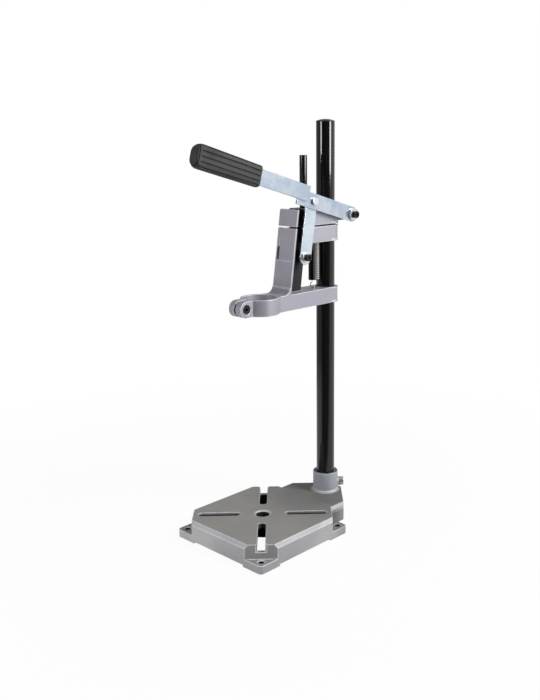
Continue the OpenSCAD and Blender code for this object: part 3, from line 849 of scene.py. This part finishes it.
def deselect_all() -> None:
    """Leaves nothing selected, in object mode."""
    if bpy.context.mode != "OBJECT":
        bpy.ops.object.mode_set(mode="OBJECT")
    bpy.ops.object.select_all(action="DESELECT")


def make_active(obj: Piece) -> None:
    """Selects one object alone and makes it active.

    Args:
        obj: The object.
    """
    deselect_all()
    obj.select_set(True)
    bpy.context.view_layer.objects.active = obj


def face_outward() -> None:
    """Turns all faces of the active mesh outward."""
    bpy.ops.object.mode_set(mode="EDIT")
    bpy.ops.mesh.select_all(action="SELECT")
    bpy.ops.mesh.normals_make_consistent(inside=False)
    bpy.ops.object.mode_set(mode="OBJECT")


def dress(obj: Piece, material: Material) -> None:
    """Gives an object one material.

    Args:
        obj: A new piece or a CAD node's object.
        material: The finish.
    """
    if not obj.material_slots:
        obj.data.materials.append(material)
    for slot in obj.material_slots:
        slot.material = material


@dataclass
class SoftEdged:
    """A casting, plate or fastener whose sharp edges are rounded: it stands for one CAD node."""

    node: str
    body: Body
    radius: float
    segments: int = 3
    clamp: bool = False
    sharp_angle: float = math.radians(28)
    smooth_angle: float = math.radians(32)
    flat_angle: float = math.radians(0.4)
    weld_distance: float = 1e-6
    flat_weight: int = 80

    def build(self, material: Material) -> Piece:
        """Copies the node's shape, rounds its edges and marks them for the edges' wear and painted highlight.

        Args:
            material: The finish.

        Returns:
            The piece.
        """
        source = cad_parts[self.node]
        piece = bpy.data.objects.new(self.node + "_soft", source.data.copy())
        bpy.context.scene.collection.objects.link(piece)
        piece.data.materials.clear()
        piece.data.materials.append(material)
        piece.data.materials.append(material)
        make_active(piece)
        self.merge()
        self.round_edges(piece)
        self.mark_edges(piece)
        self.even_normals(piece)
        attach(piece, self.body.value)
        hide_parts(self.node)
        return piece

    def merge(self) -> None:
        """Joins the loose triangles of the active piece into flat faces."""
        bpy.ops.object.mode_set(mode="EDIT")
        bpy.ops.mesh.select_all(action="SELECT")
        bpy.ops.mesh.remove_doubles(threshold=self.weld_distance)
        bpy.ops.mesh.customdata_custom_splitnormals_clear()
        bpy.ops.mesh.dissolve_limited(angle_limit=self.flat_angle)
        bpy.ops.object.mode_set(mode="OBJECT")

    def round_edges(self, piece: Piece) -> None:
        """Rounds the sharp edges, whose faces get the second material slot.

        Args:
            piece: The piece.
        """
        bevel = piece.modifiers.new("round", "BEVEL")
        bevel.width = self.radius
        bevel.segments = self.segments
        bevel.limit_method = "ANGLE"
        bevel.angle_limit = self.sharp_angle
        bevel.use_clamp_overlap = self.clamp
        bevel.material = 1
        bpy.ops.object.modifier_apply(modifier=bevel.name)
        bpy.ops.object.shade_smooth_by_angle(angle=self.smooth_angle)

    @staticmethod
    def mark_edges(piece: Piece) -> None:
        """Stores which faces are rounded edges, then gives all faces the first material slot.

        Args:
            piece: The piece.
        """
        mesh = piece.data
        marks = mesh.attributes.new("soft_edge", "FLOAT", "FACE")
        for polygon in mesh.polygons:
            marks.data[polygon.index].value = float(polygon.material_index == 1)
            polygon.material_index = 0
        mesh.materials.pop(index=1)

    def even_normals(self, piece: Piece) -> None:
        """Lets the large flat faces set the shading at their rounded edges.

        Args:
            piece: The piece.
        """
        even = piece.modifiers.new("even", "WEIGHTED_NORMAL")
        even.keep_sharp = True
        even.weight = self.flat_weight
        bpy.ops.object.modifier_apply(modifier=even.name)


def soften(nodes: Sequence[str], body: Body, radius: float, material: Material) -> List[Piece]:
    """Rounds the edges of small pieces that share a body, an edge radius and a finish."""
    return [SoftEdged(node, body, radius, segments=2, clamp=True).build(material) for node in nodes]


# Sub-assemblies


@dataclass
class BaseAssembly:
    """The cast base and its socket screw."""

    edge_radius: float = 0.9 * MM
    screw_edge: float = 0.35 * MM

    def build(self, palette: Palette) -> List[Piece]:
        """Softens and dresses the casting and its screw."""
        return [SoftEdged("base_plate", Body.BASE, self.edge_radius).build(palette.base),
                *soften(["socket_screw"], Body.BASE, self.screw_edge, palette.plain)]


@dataclass
class ColumnAssembly:
    """The black tube and its cap."""

    cap_edge: float = 0.5 * MM

    def build(self, palette: Palette) -> List[Piece]:
        """Dresses the tube and softens the cap."""
        dress(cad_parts["column"], palette.tube)
        return soften(["column_cap"], Body.COLUMN, self.cap_edge, palette.cap)


@dataclass
class HeadAssembly:
    """The clamp block, its rod and the lever's pivot."""

    edge_radius: float = 0.7 * MM
    small_edge: float = 0.3 * MM
    rod_edge: float = 0.6 * MM

    def build(self, palette: Palette) -> List[Piece]:
        """Softens and dresses the pieces.

        Args:
            palette: The finishes.

        Returns:
            The new pieces.
        """
        screws = ["block_grub_screw", "pivot_bolt", "pivot_nut"]
        return [SoftEdged("clamp_block", Body.HEAD, self.edge_radius).build(palette.head),
                *soften(screws, Body.HEAD, self.small_edge, palette.screw),
                *soften(["pivot_spacer", "pivot_washer"], Body.HEAD, self.small_edge, palette.small),
                *soften(["guide_rod"], Body.HEAD, self.rod_edge, palette.tube)]


@dataclass
class CarriageAssembly:
    """The carriage with its collar, rod and link bolt."""

    edge_radius: float = 0.7 * MM
    small_edge: float = 0.3 * MM
    rod_edge: float = 0.6 * MM

    def build(self, palette: Palette) -> List[Piece]:
        """Softens and dresses the pieces.

        Args:
            palette: The finishes.

        Returns:
            The new pieces.
        """
        return [SoftEdged("carriage", Body.CARRIAGE, self.edge_radius).build(palette.head),
                *soften(["collar_screw", "link_bolt"], Body.CARRIAGE, self.small_edge, palette.screw),
                *soften(["link_washer"], Body.CARRIAGE, self.small_edge, palette.small),
                *soften(["carriage_nuts"], Body.CARRIAGE, self.small_edge, palette.plain),
                *soften(["stop_rod"], Body.CARRIAGE, self.rod_edge, palette.tube)]


@dataclass
class LeverAssembly:
    """The rear plate, the bar and the link's rivet."""

    edge_radius: float = 0.5 * MM
    rivet_edge: float = 0.8 * MM

    def build(self, palette: Palette) -> List[Piece]:
        """Softens and dresses the pieces.

        Args:
            palette: The finishes.

        Returns:
            The new pieces.
        """
        plates = [SoftEdged(node, Body.LEVER, self.edge_radius).build(palette.strap)
                  for node in ("lever_plate", "lever_bar")]
        return [*plates, *soften(["link_rivet"], Body.LEVER, self.rivet_edge, palette.small)]


@dataclass
class LinkAssembly:
    """The link between the carriage and the lever."""

    edge_radius: float = 0.5 * MM

    def build(self, palette: Palette) -> List[Piece]:
        """Softens and dresses the link."""
        return [SoftEdged("feed_link", Body.LINK, self.edge_radius).build(palette.link)]


@dataclass(frozen=True)
class GripRing:
    """One ring of the grip: how far along it lies, how far it is drawn in and how deep it is grooved."""

    along: float
    draw_in: float = 0.0
    grooved: float = 0.0


@dataclass
class MouldedGrip:
    """The lever's grip: a tapered bar with a round nose, a ring groove and long grooves on both sides."""

    pivot_y: float = 153.0 * MM
    pivot_z: float = 418.0 * MM
    tilt: float = math.radians(15.4)
    middle_x: float = 26.3 * MM
    rise: float = 6.5 * MM
    start: float = 187.0 * MM
    length: float = 101.49 * MM
    half_t: float = 7.0 * MM
    half_h: Span = (13.5 * MM, 14.5 * MM)
    edge_r: float = 5.0 * MM
    edge_share: float = 0.92
    nose_r: float = 10.0 * MM
    nose_side_r: float = 3.2 * MM
    nose_turns_deg: Sequence[int] = range(25, 91, 13)
    corner_turns: Sequence[float] = (math.radians(90), math.radians(68), math.radians(12))
    groove_depth: float = 1.1 * MM
    groove_half: float = 1.0 * MM
    groove_step: float = 6.0 * MM
    groove_turn: float = math.radians(36)
    groove_spread: float = 1.05
    groove_places_mm: Sequence[float] = (4.2, 20, 36, 52, 68, 80, 90)
    notch: Sequence[Span] = ((1.0, 0.0), (0.8, 0.55), (0.4, 0.95), (0.0, 1.0),
                             (-0.4, 0.95), (-0.8, 0.55), (-1.0, 0.0))
    mouth_mm: Sequence[Span] = ((0.0, 0.7), (0.25, 0.2), (0.8, 0.0), (3.4, 0.0))
    ring_in: float = 3.4 * MM
    ring_depth: float = 0.8 * MM
    # Places in millimetres from the ring, each with a share of the grooves' or the ring's depth
    ring_lead: Sequence[Span] = ((4.6, 0.7), (3.6, 0.0), (1.1, 0.0))
    ring_notch: Sequence[Span] = ((-0.8, 0.55), (-0.4, 0.9), (0.0, 1.0), (0.4, 0.9), (0.8, 0.55), (1.1, 0.0))
    pocket_half: Span = (2.52 * MM, 10.02 * MM)
    pocket_ends: Span = (-1.0 * MM, 81.5 * MM)
    smooth_angle: float = math.radians(38)

    def place(self, x: float, along: float, across: float) -> Vector:
        """Turns a place on the grip into the stand's frame.

        Args:
            x: Distance from the grip's middle plane.
            along: Distance from the inner end.
            across: Height above the grip's middle line.

        Returns:
            The point.
        """
        u, v = self.start + along, self.rise + across
        return Vector((self.middle_x + x, self.pivot_y - u * math.cos(self.tilt) + v * math.sin(self.tilt),
                       self.pivot_z + u * math.sin(self.tilt) + v * math.cos(self.tilt)))

    def rings(self) -> List[GripRing]:
        """Lists the rings from the inner end to the nose.

        Returns:
            The rings.
        """
        nose = self.length - self.ring_in
        plain = [GripRing(a * MM, inward * MM) for a, inward in self.mouth_mm]
        cut = [GripRing(a * MM, 0.0, 1.0) for a in self.groove_places_mm]
        ring = [GripRing(nose - a * MM, 0.0, grooved) for a, grooved in self.ring_lead]
        ring += [GripRing(nose + a * MM, self.ring_depth * share) for a, share in self.ring_notch]
        tip = [GripRing(self.length - self.nose_side_r * (1 - math.sin(math.radians(a))))
               for a in self.nose_turns_deg]
        return plain + cut + ring + tip

    def halves(self, ring: GripRing) -> Span:
        """Works out half the thickness and half the height of the grip at a ring.

        Args:
            ring: The ring.

        Returns:
            Half the thickness and half the height.
        """
        share = ring.along / self.length
        h = self.half_h[0] + (self.half_h[1] - self.half_h[0]) * share
        over = max(ring.along - (self.length - self.nose_r), 0.0)
        h -= self.nose_r - math.sqrt(max(self.nose_r ** 2 - over ** 2, 0.0))
        over = max(ring.along - (self.length - self.nose_side_r), 0.0)
        t = self.half_t - self.nose_side_r + math.sqrt(max(self.nose_side_r ** 2 - over ** 2, 0.0))
        return t - ring.draw_in, h - ring.draw_in

    def quarter(self, t: float, h: float, grooved: float) -> List[Point]:
        """Draws the upper half of one side of a ring, from its top to its middle.

        Args:
            t: Half the thickness.
            h: Half the height.
            grooved: Share of the grooves' depth.

        Returns:
            The distance from the middle plane, the height and the share of groove at each point.
        """
        r = min(self.edge_r, t * self.edge_share)
        wide = self.groove_half / self.edge_r
        top, shoulder, foot = self.corner_turns
        corner = [(top, 0.0), (shoulder, 0.0)]
        corner += [(self.groove_turn + wide * side, depth) for side, depth in self.notch]
        corner += [(foot, 0.0)]
        points = []
        for turn, depth in corner:
            out = r - depth * grooved * self.groove_depth
            points.append((t - r + out * math.cos(turn), h - r + out * math.sin(turn), depth * grooved))
        flat = min((h - r) / (self.half_h[0] - self.edge_r), self.groove_spread)
        return points + self.flat_groove(t, self.groove_step, flat, grooved)

    def flat_groove(self, t: float, middle: float, flat: float, grooved: float) -> List[Point]:
        """Draws one groove on the flat of a side: the same three values at each point as in a quarter."""
        return [(t - depth * grooved * self.groove_depth, (middle + side * self.groove_half) * flat,
                 depth * grooved) for side, depth in self.notch]

    def outline(self, ring: GripRing) -> List[Tuple[Vector, float]]:
        """Draws one ring of the grip.

        Args:
            ring: The ring.

        Returns:
            The points round the ring, each with its share of groove.
        """
        t, h = self.halves(ring)
        upper = self.quarter(t, h, ring.grooved)
        middle = self.flat_groove(t, 0.0, min(h / self.half_h[0], 1.0), ring.grooved)
        lower = [(x, -v, depth) for x, v, depth in reversed(upper)]
        near = upper + middle + lower
        far = [(-x, -v, depth) for x, v, depth in near]
        drawn = ring.draw_in / self.ring_depth if ring.along > self.length / 2 else 0.0
        return [(self.place(x, ring.along, v), max(depth, drawn)) for x, v, depth in near + far]

    def build(self, palette: Palette) -> List[Piece]:
        """Draws a circle out into the rings, shapes them and cuts the pocket for the bar.

        Args:
            palette: The finishes.

        Returns:
            The grip.
        """
        rings = [self.outline(ring) for ring in self.rings()]
        deselect_all()
        bpy.ops.mesh.primitive_circle_add(vertices=len(rings[0]), radius=1.0, fill_type="NGON")
        grip = bpy.context.view_layer.objects.active
        grip.name = "lever_grip_moulded"
        bpy.ops.object.mode_set(mode="EDIT")
        bpy.ops.mesh.select_all(action="SELECT")
        for _ in rings[1:]:
            bpy.ops.mesh.extrude_region_move(TRANSFORM_OT_translate={"value": (0.0, 0.0, 1.0)})
        bpy.ops.object.mode_set(mode="OBJECT")
        self.shape(grip, rings)
        face_outward()
        self.cut_pocket(grip)
        make_active(grip)
        bpy.ops.object.shade_smooth_by_angle(angle=self.smooth_angle)
        dress(grip, palette.grip)
        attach(grip, Body.LEVER.value)
        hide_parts("lever_grip")
        return [grip]

    @staticmethod
    def shape(grip: Piece, rings: List[List[Tuple[Vector, float]]]) -> None:
        """Moves each point of the drawn-out circle to its place and stores its share of groove.

        Args:
            grip: The drawn-out circle.
            rings: The rings' points.
        """
        count = len(rings[0])
        marks = grip.data.attributes.new("groove_depth", "FLOAT", "POINT")
        for vertex in grip.data.vertices:
            turn = math.atan2(vertex.co.y, vertex.co.x) - math.pi / 2
            index = round(turn / (2 * math.pi) * count) % count
            point, depth = rings[round(vertex.co.z)][index]
            vertex.co = point
            marks.data[vertex.index].value = depth

    def cut_pocket(self, grip: Piece) -> None:
        """Cuts the pocket that the bar's end sits in.

        Args:
            grip: The grip.
        """
        deselect_all()
        bpy.ops.mesh.primitive_cube_add(size=2.0)
        cutter = bpy.context.view_layer.objects.active
        for vertex in cutter.data.vertices:
            x, y, z = vertex.co
            vertex.co = self.place(x * self.pocket_half[0], self.pocket_ends[y > 0], z * self.pocket_half[1])
        face_outward()
        make_active(grip)
        cut = grip.modifiers.new("pocket", "BOOLEAN")
        cut.operation = "DIFFERENCE"
        cut.object = cutter
        bpy.ops.object.modifier_apply(modifier=cut.name)
        bpy.data.meshes.remove(cutter.data)


@dataclass
class ReturnSpring:
    """The wound spring with its hook, finer than the solid that it stands for."""

    x: float = 10.7 * MM
    y: float = 94.2 * MM
    wire: float = 1.2 * MM
    wire_steps: int = 3
    mean_r: float = 3.4 * MM
    coils: int = 25
    rings: int = 24
    hook_r: float = 4.4 * MM
    hook_shift: float = 3.6 * MM
    hook_z: float = 327.0 * MM
    hook_turn: float = math.radians(42)
    hook_start: float = math.radians(-160)
    hook_sweep: float = math.radians(250)
    hook_steps: int = 40
    neck_turn: float = math.radians(225)
    neck_ease: float = 1.6
    neck_steps: int = 24
    coil_start_z: float = 334.6 * MM
    coil_end_z: float = 403.4 * MM
    top_z: float = 407.0 * MM
    # Turns in degrees, each with a rise in millimetres
    top_bend: Sequence[Span] = ((15, 0.2), (28, 0.5), (36, 0.9), (42, 1.4), (45, 2.2))
    shade_start: float = 0.5
    shade_rate: float = 3.0
    hook_shade: float = 0.8
    smooth_angle: float = math.radians(50)

    def around(self, r: float, a: float, z: float) -> Point:
        """A point at a radius, angle and height about the spring's axis."""
        return (self.x + r * math.cos(a), self.y + r * math.sin(a), z)

    def path(self) -> List[Point]:
        """Works out the wire's line from the hook's end to the block.

        Returns:
            The points of the line.
        """
        points: List[Point] = []
        for i in range(self.hook_steps + 1):
            a = self.hook_start + self.hook_sweep * i / self.hook_steps
            u = self.hook_r * math.sin(a) - self.hook_shift
            points.append(self.around(u, self.hook_turn, self.hook_z - self.hook_r * math.cos(a)))
        neck_r = self.hook_r - self.hook_shift
        for i in range(1, self.neck_steps + 1):
            s = i / self.neck_steps
            out = neck_r + (self.mean_r - neck_r) * s
            rise = (self.coil_start_z - self.hook_z) * (1 - (1 - s) ** self.neck_ease)
            points.append(self.around(out, self.hook_turn + self.neck_turn * s * s, self.hook_z + rise))
        turn = self.hook_turn + self.neck_turn
        total = self.coils * self.rings
        for i in range(1, total + 1):
            points.append(self.around(self.mean_r, turn + 2 * math.pi * i / self.rings,
                                      self.coil_start_z + (self.coil_end_z - self.coil_start_z) * i / total))
        for angle, rise in self.top_bend:
            points.append(self.around(self.mean_r, turn + math.radians(angle), self.coil_end_z + rise * MM))
        points.append((*points[-1][:2], self.top_z))
        return points

    def mark_inner(self, mesh: bpy.types.Mesh) -> None:
        """Stores how far each face of the coils looks at the spring's axis, as its share of painted shade.

        Args:
            mesh: The wound wire.
        """
        marks = mesh.attributes.new("inner_side", "FLOAT", "FACE")
        for polygon in mesh.polygons:
            out = Vector((polygon.center.x - self.x, polygon.center.y - self.y, 0.0))
            inward = (self.shade_start - polygon.normal.dot(out.normalized())) * self.shade_rate
            in_coils = polygon.center.z > self.coil_start_z
            # The hook takes a fixed share of painted shade.
            marks.data[polygon.index].value = min(max(inward, 0.0), 1.0) if in_coils else self.hook_shade

    def build(self, palette: Palette) -> List[Piece]:
        """Winds the wire between the block and the carriage.

        Args:
            palette: The finishes.

        Returns:
            The spring.
        """
        curve = bpy.data.curves.new("return_spring_wire", "CURVE")
        curve.dimensions = "3D"
        curve.bevel_depth = self.wire / 2
        curve.bevel_resolution = self.wire_steps
        curve.use_fill_caps = True
        spline = curve.splines.new("POLY")
        points = self.path()
        spline.points.add(len(points) - 1)
        for place, point in zip(spline.points, points):
            place.co = (*point, 1.0)
        piece = bpy.data.objects.new("return_spring_wound", curve)
        bpy.context.scene.collection.objects.link(piece)
        make_active(piece)
        bpy.ops.object.convert(target="MESH")
        bpy.ops.object.shade_smooth_by_angle(angle=self.smooth_angle)
        piece = bpy.context.view_layer.objects.active
        self.mark_inner(piece.data)
        dress(piece, palette.wire)
        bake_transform(piece)
        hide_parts("return_spring")
        return [piece]


# Studio


@dataclass(frozen=True)
class Lamp:
    """One soft box: its place, the point it faces, its width and height, its power and what it does."""

    name: str
    place: Point
    aim: Point
    size: Span
    watts: float
    lit: Lit = Lit.BOTH

    def add(self) -> None:
        """Adds the lamp to the scene."""
        data = bpy.data.lights.new(self.name, "AREA")
        data.shape = "RECTANGLE"
        data.size, data.size_y = self.size
        data.energy = self.watts
        lamp = bpy.data.objects.new(self.name, data)
        bpy.context.scene.collection.objects.link(lamp)
        lamp.location = self.place
        lamp.visible_diffuse, lamp.visible_glossy = self.lit.value
        lamp.rotation_mode = "QUATERNION"
        lamp.rotation_quaternion = (Vector(self.aim) - Vector(self.place)).to_track_quat("-Z", "Y")


@dataclass
class Studio:
    """Pale floor, soft lights, white surroundings and the photo's camera."""

    camera_at: Point = (0.7861, -0.7452, 0.5129)
    azimuth: float = math.radians(42.17)
    pitch: float = math.radians(10.26)
    focal_px: float = 866.2
    principal: Span = (324.75, 300.0)
    image: Tuple[int, int] = (540, 700)
    sensor_mm: float = 36.0
    clip: Span = (0.01, 50.0)
    ambient: float = 0.2
    bright_way: Point = (0.74, 0.67, 0.0)
    bright_span: Span = (-0.8, 0.8)
    bright_level: Span = (0.4, 0.95)
    dark_way: Point = (0.741, -0.671, 0.0)
    dark_span: Span = (0.35, 0.8)
    dark_level: Span = (1.0, 0.1)
    floor_side: float = 12.0
    floor_gap: float = 0.2 * MM
    floor_color: Tuple[float, ...] = (0.8, 0.8, 0.8, 1.0)
    floor_roughness: float = 0.9
    floor_specular: float = 0.1
    shadow_reach: Span = (0.2, 0.9)
    shadow_white: Span = (0.95, 1.0)
    under_base: Span = (0.06, 0.082)
    under_level: Span = (0.02, 1.0)
    near_reach: Span = (0.3, 1.2)
    near_level: Span = (0.95, 0.0)
    middle: Point = (0.0, 0.06, 0.28)
    column_top: Point = (0.0, 0.124, 0.5)

    def build(self) -> None:
        """Builds the whole studio."""
        self.add_camera()
        self.add_floor()
        self.add_world()
        self.add_lights()
        bpy.context.scene.view_settings.view_transform = "Standard"

    def add_camera(self) -> None:
        """Adds the camera at the photo's place, with its shift."""
        data = bpy.data.cameras.new("photo_camera")
        camera = bpy.data.objects.new("photo_camera", data)
        bpy.context.scene.collection.objects.link(camera)
        width, height = self.image
        longer = max(width, height)
        data.sensor_fit = "AUTO"
        data.sensor_width = self.sensor_mm
        data.lens = self.focal_px / longer * self.sensor_mm
        data.shift_x = (width / 2 - self.principal[0]) / longer
        data.shift_y = (self.principal[1] - height / 2) / longer
        a, e = self.azimuth, self.pitch
        back = Vector((math.sin(a) * math.cos(e), -math.cos(a) * math.cos(e), math.sin(e)))
        camera.rotation_mode = "QUATERNION"
        camera.rotation_quaternion = (-back).to_track_quat("-Z", "Y")
        camera.location = self.camera_at
        data.clip_start, data.clip_end = self.clip
        bpy.context.scene.camera = camera

    @staticmethod
    def ray_kinds(g: Graph) -> Tuple[Socket, Socket]:
        """Tells the rays that show the surroundings from those that mirror them.

        Args:
            g: The graph of a floor or world.

        Returns:
            1 for camera and transmission rays, and 1 for glossy rays.
        """
        path = g.add("ShaderNodeLightPath")
        return (g.math("MAXIMUM", path.outputs["Is Camera Ray"], path.outputs["Is Transmission Ray"]),
                path.outputs["Is Glossy Ray"])

    def room(self, g: Graph, place: Socket, near: object = 0.0) -> Socket:
        """Level of the room in reflections: bright right and behind, dark at the front right.

        Args:
            g: The graph of the floor or world.
            place: Direction of the place from the stand, of length 1.
            near: Least level beside the stand.

        Returns:
            The level at the place.
        """
        right = g.ramp(g.vector("DOT_PRODUCT", place, self.bright_way), self.bright_span, self.bright_level)
        dark = g.ramp(g.vector("DOT_PRODUCT", place, self.dark_way), self.dark_span, self.dark_level)
        return g.math("MULTIPLY", g.math("MAXIMUM", right, near), dark)

    def add_floor(self) -> None:
        """Adds a pale floor that shows nearly white and keeps a faint shadow."""
        deselect_all()
        bpy.ops.mesh.primitive_plane_add(size=self.floor_side, location=(0, 0, -self.floor_gap))
        floor = bpy.context.view_layer.objects.active
        floor.name = "floor"
        material = bpy.data.materials.new("floor_pale")
        material.use_nodes = True
        g = Graph(material.node_tree)
        shader = g.tree.nodes["Principled BSDF"]
        shader.inputs["Base Color"].default_value = self.floor_color
        shader.inputs["Roughness"].default_value = self.floor_roughness
        shader.inputs["Specular IOR Level"].default_value = self.floor_specular
        spot = g.add("ShaderNodeTexCoord").outputs["Object"]
        away = g.vector("LENGTH", spot)
        seen, mirrored = self.ray_kinds(g)
        x, y, _ = g.split(spot)
        square = g.math("MAXIMUM", g.math("ABSOLUTE", x), g.math("ABSOLUTE", y))
        outside = g.ramp(square, self.under_base, self.under_level)
        near = g.ramp(away, self.near_reach, self.near_level)
        level = g.product(mirrored, outside, self.room(g, g.vector("NORMALIZE", spot), near))
        glow = g.add("ShaderNodeEmission", Color=WHITE, Strength=g.math("ADD", seen, level))
        shown = g.product(seen, g.ramp(away, self.shadow_reach, self.shadow_white))
        join = g.add("ShaderNodeMixShader")
        g.feed(join.inputs[0], g.math("ADD", shown, mirrored, clamp=True))
        g.feed(join.inputs[1], shader.outputs[0])
        g.feed(join.inputs[2], glow.outputs[0])
        g.feed(g.tree.nodes["Material Output"].inputs["Surface"], join.outputs[0])
        floor.data.materials.append(material)

    def add_world(self) -> None:
        """Makes the surroundings white to look at, dim as light and a room with a dark side when mirrored."""
        world = bpy.data.worlds.new("white_room")
        bpy.context.scene.world = world
        world.use_nodes = True
        g = Graph(world.node_tree)
        back = g.tree.nodes["Background"]
        back.inputs["Color"].default_value = WHITE
        seen, mirrored = self.ray_kinds(g)
        facing = g.add("ShaderNodeTexCoord").outputs["Generated"]
        room = g.product(mirrored, g.math("SUBTRACT", self.room(g, facing), self.ambient))
        shown = g.product(seen, 1.0 - self.ambient)
        g.feed(back.inputs["Strength"], g.math("ADD", self.ambient, g.math("ADD", room, shown)))

    def add_lights(self) -> None:
        """Adds the soft boxes right, in front and above, and two strips that the polished column mirrors."""
        for lamp in (Lamp("key_box", (0.9, 0.45, 1.0), (0.0, 0.08, 0.34), (0.4, 0.5), 13.5),
                     Lamp("fill_box", (-0.14, -0.82, 0.14), (0.0, -0.04, 0.02), (0.6, 0.25), 3.2, Lit.MATT),
                     Lamp("top_box", (-0.25, -0.35, 1.6), self.middle, (0.9, 0.9), 2.5),
                     Lamp("left_strip", (-0.31, -1.32, 0.68), self.column_top, (0.4, 0.42), 7.2,
                          Lit.MIRRORED),
                     Lamp("right_strip", (1.45, 0.5, 0.65), self.column_top, (0.52, 0.46), 13.0,
                          Lit.MIRRORED)):
            lamp.add()


def main() -> None:
    """Builds the studio and every sub-assembly in order."""
    logging.basicConfig(level=logging.INFO, format="%(name)s: %(message)s")
    Studio().build()
    palette = Palette(make_groups())
    for assembly in (BaseAssembly(), ColumnAssembly(), HeadAssembly(), CarriageAssembly(), LeverAssembly(),
                     MouldedGrip(), LinkAssembly(), ReturnSpring()):
        for piece in assembly.build(palette):
            LOG.info("%s: %d faces", piece.name, len(piece.data.polygons))


if __name__ == "__main__":
    main()
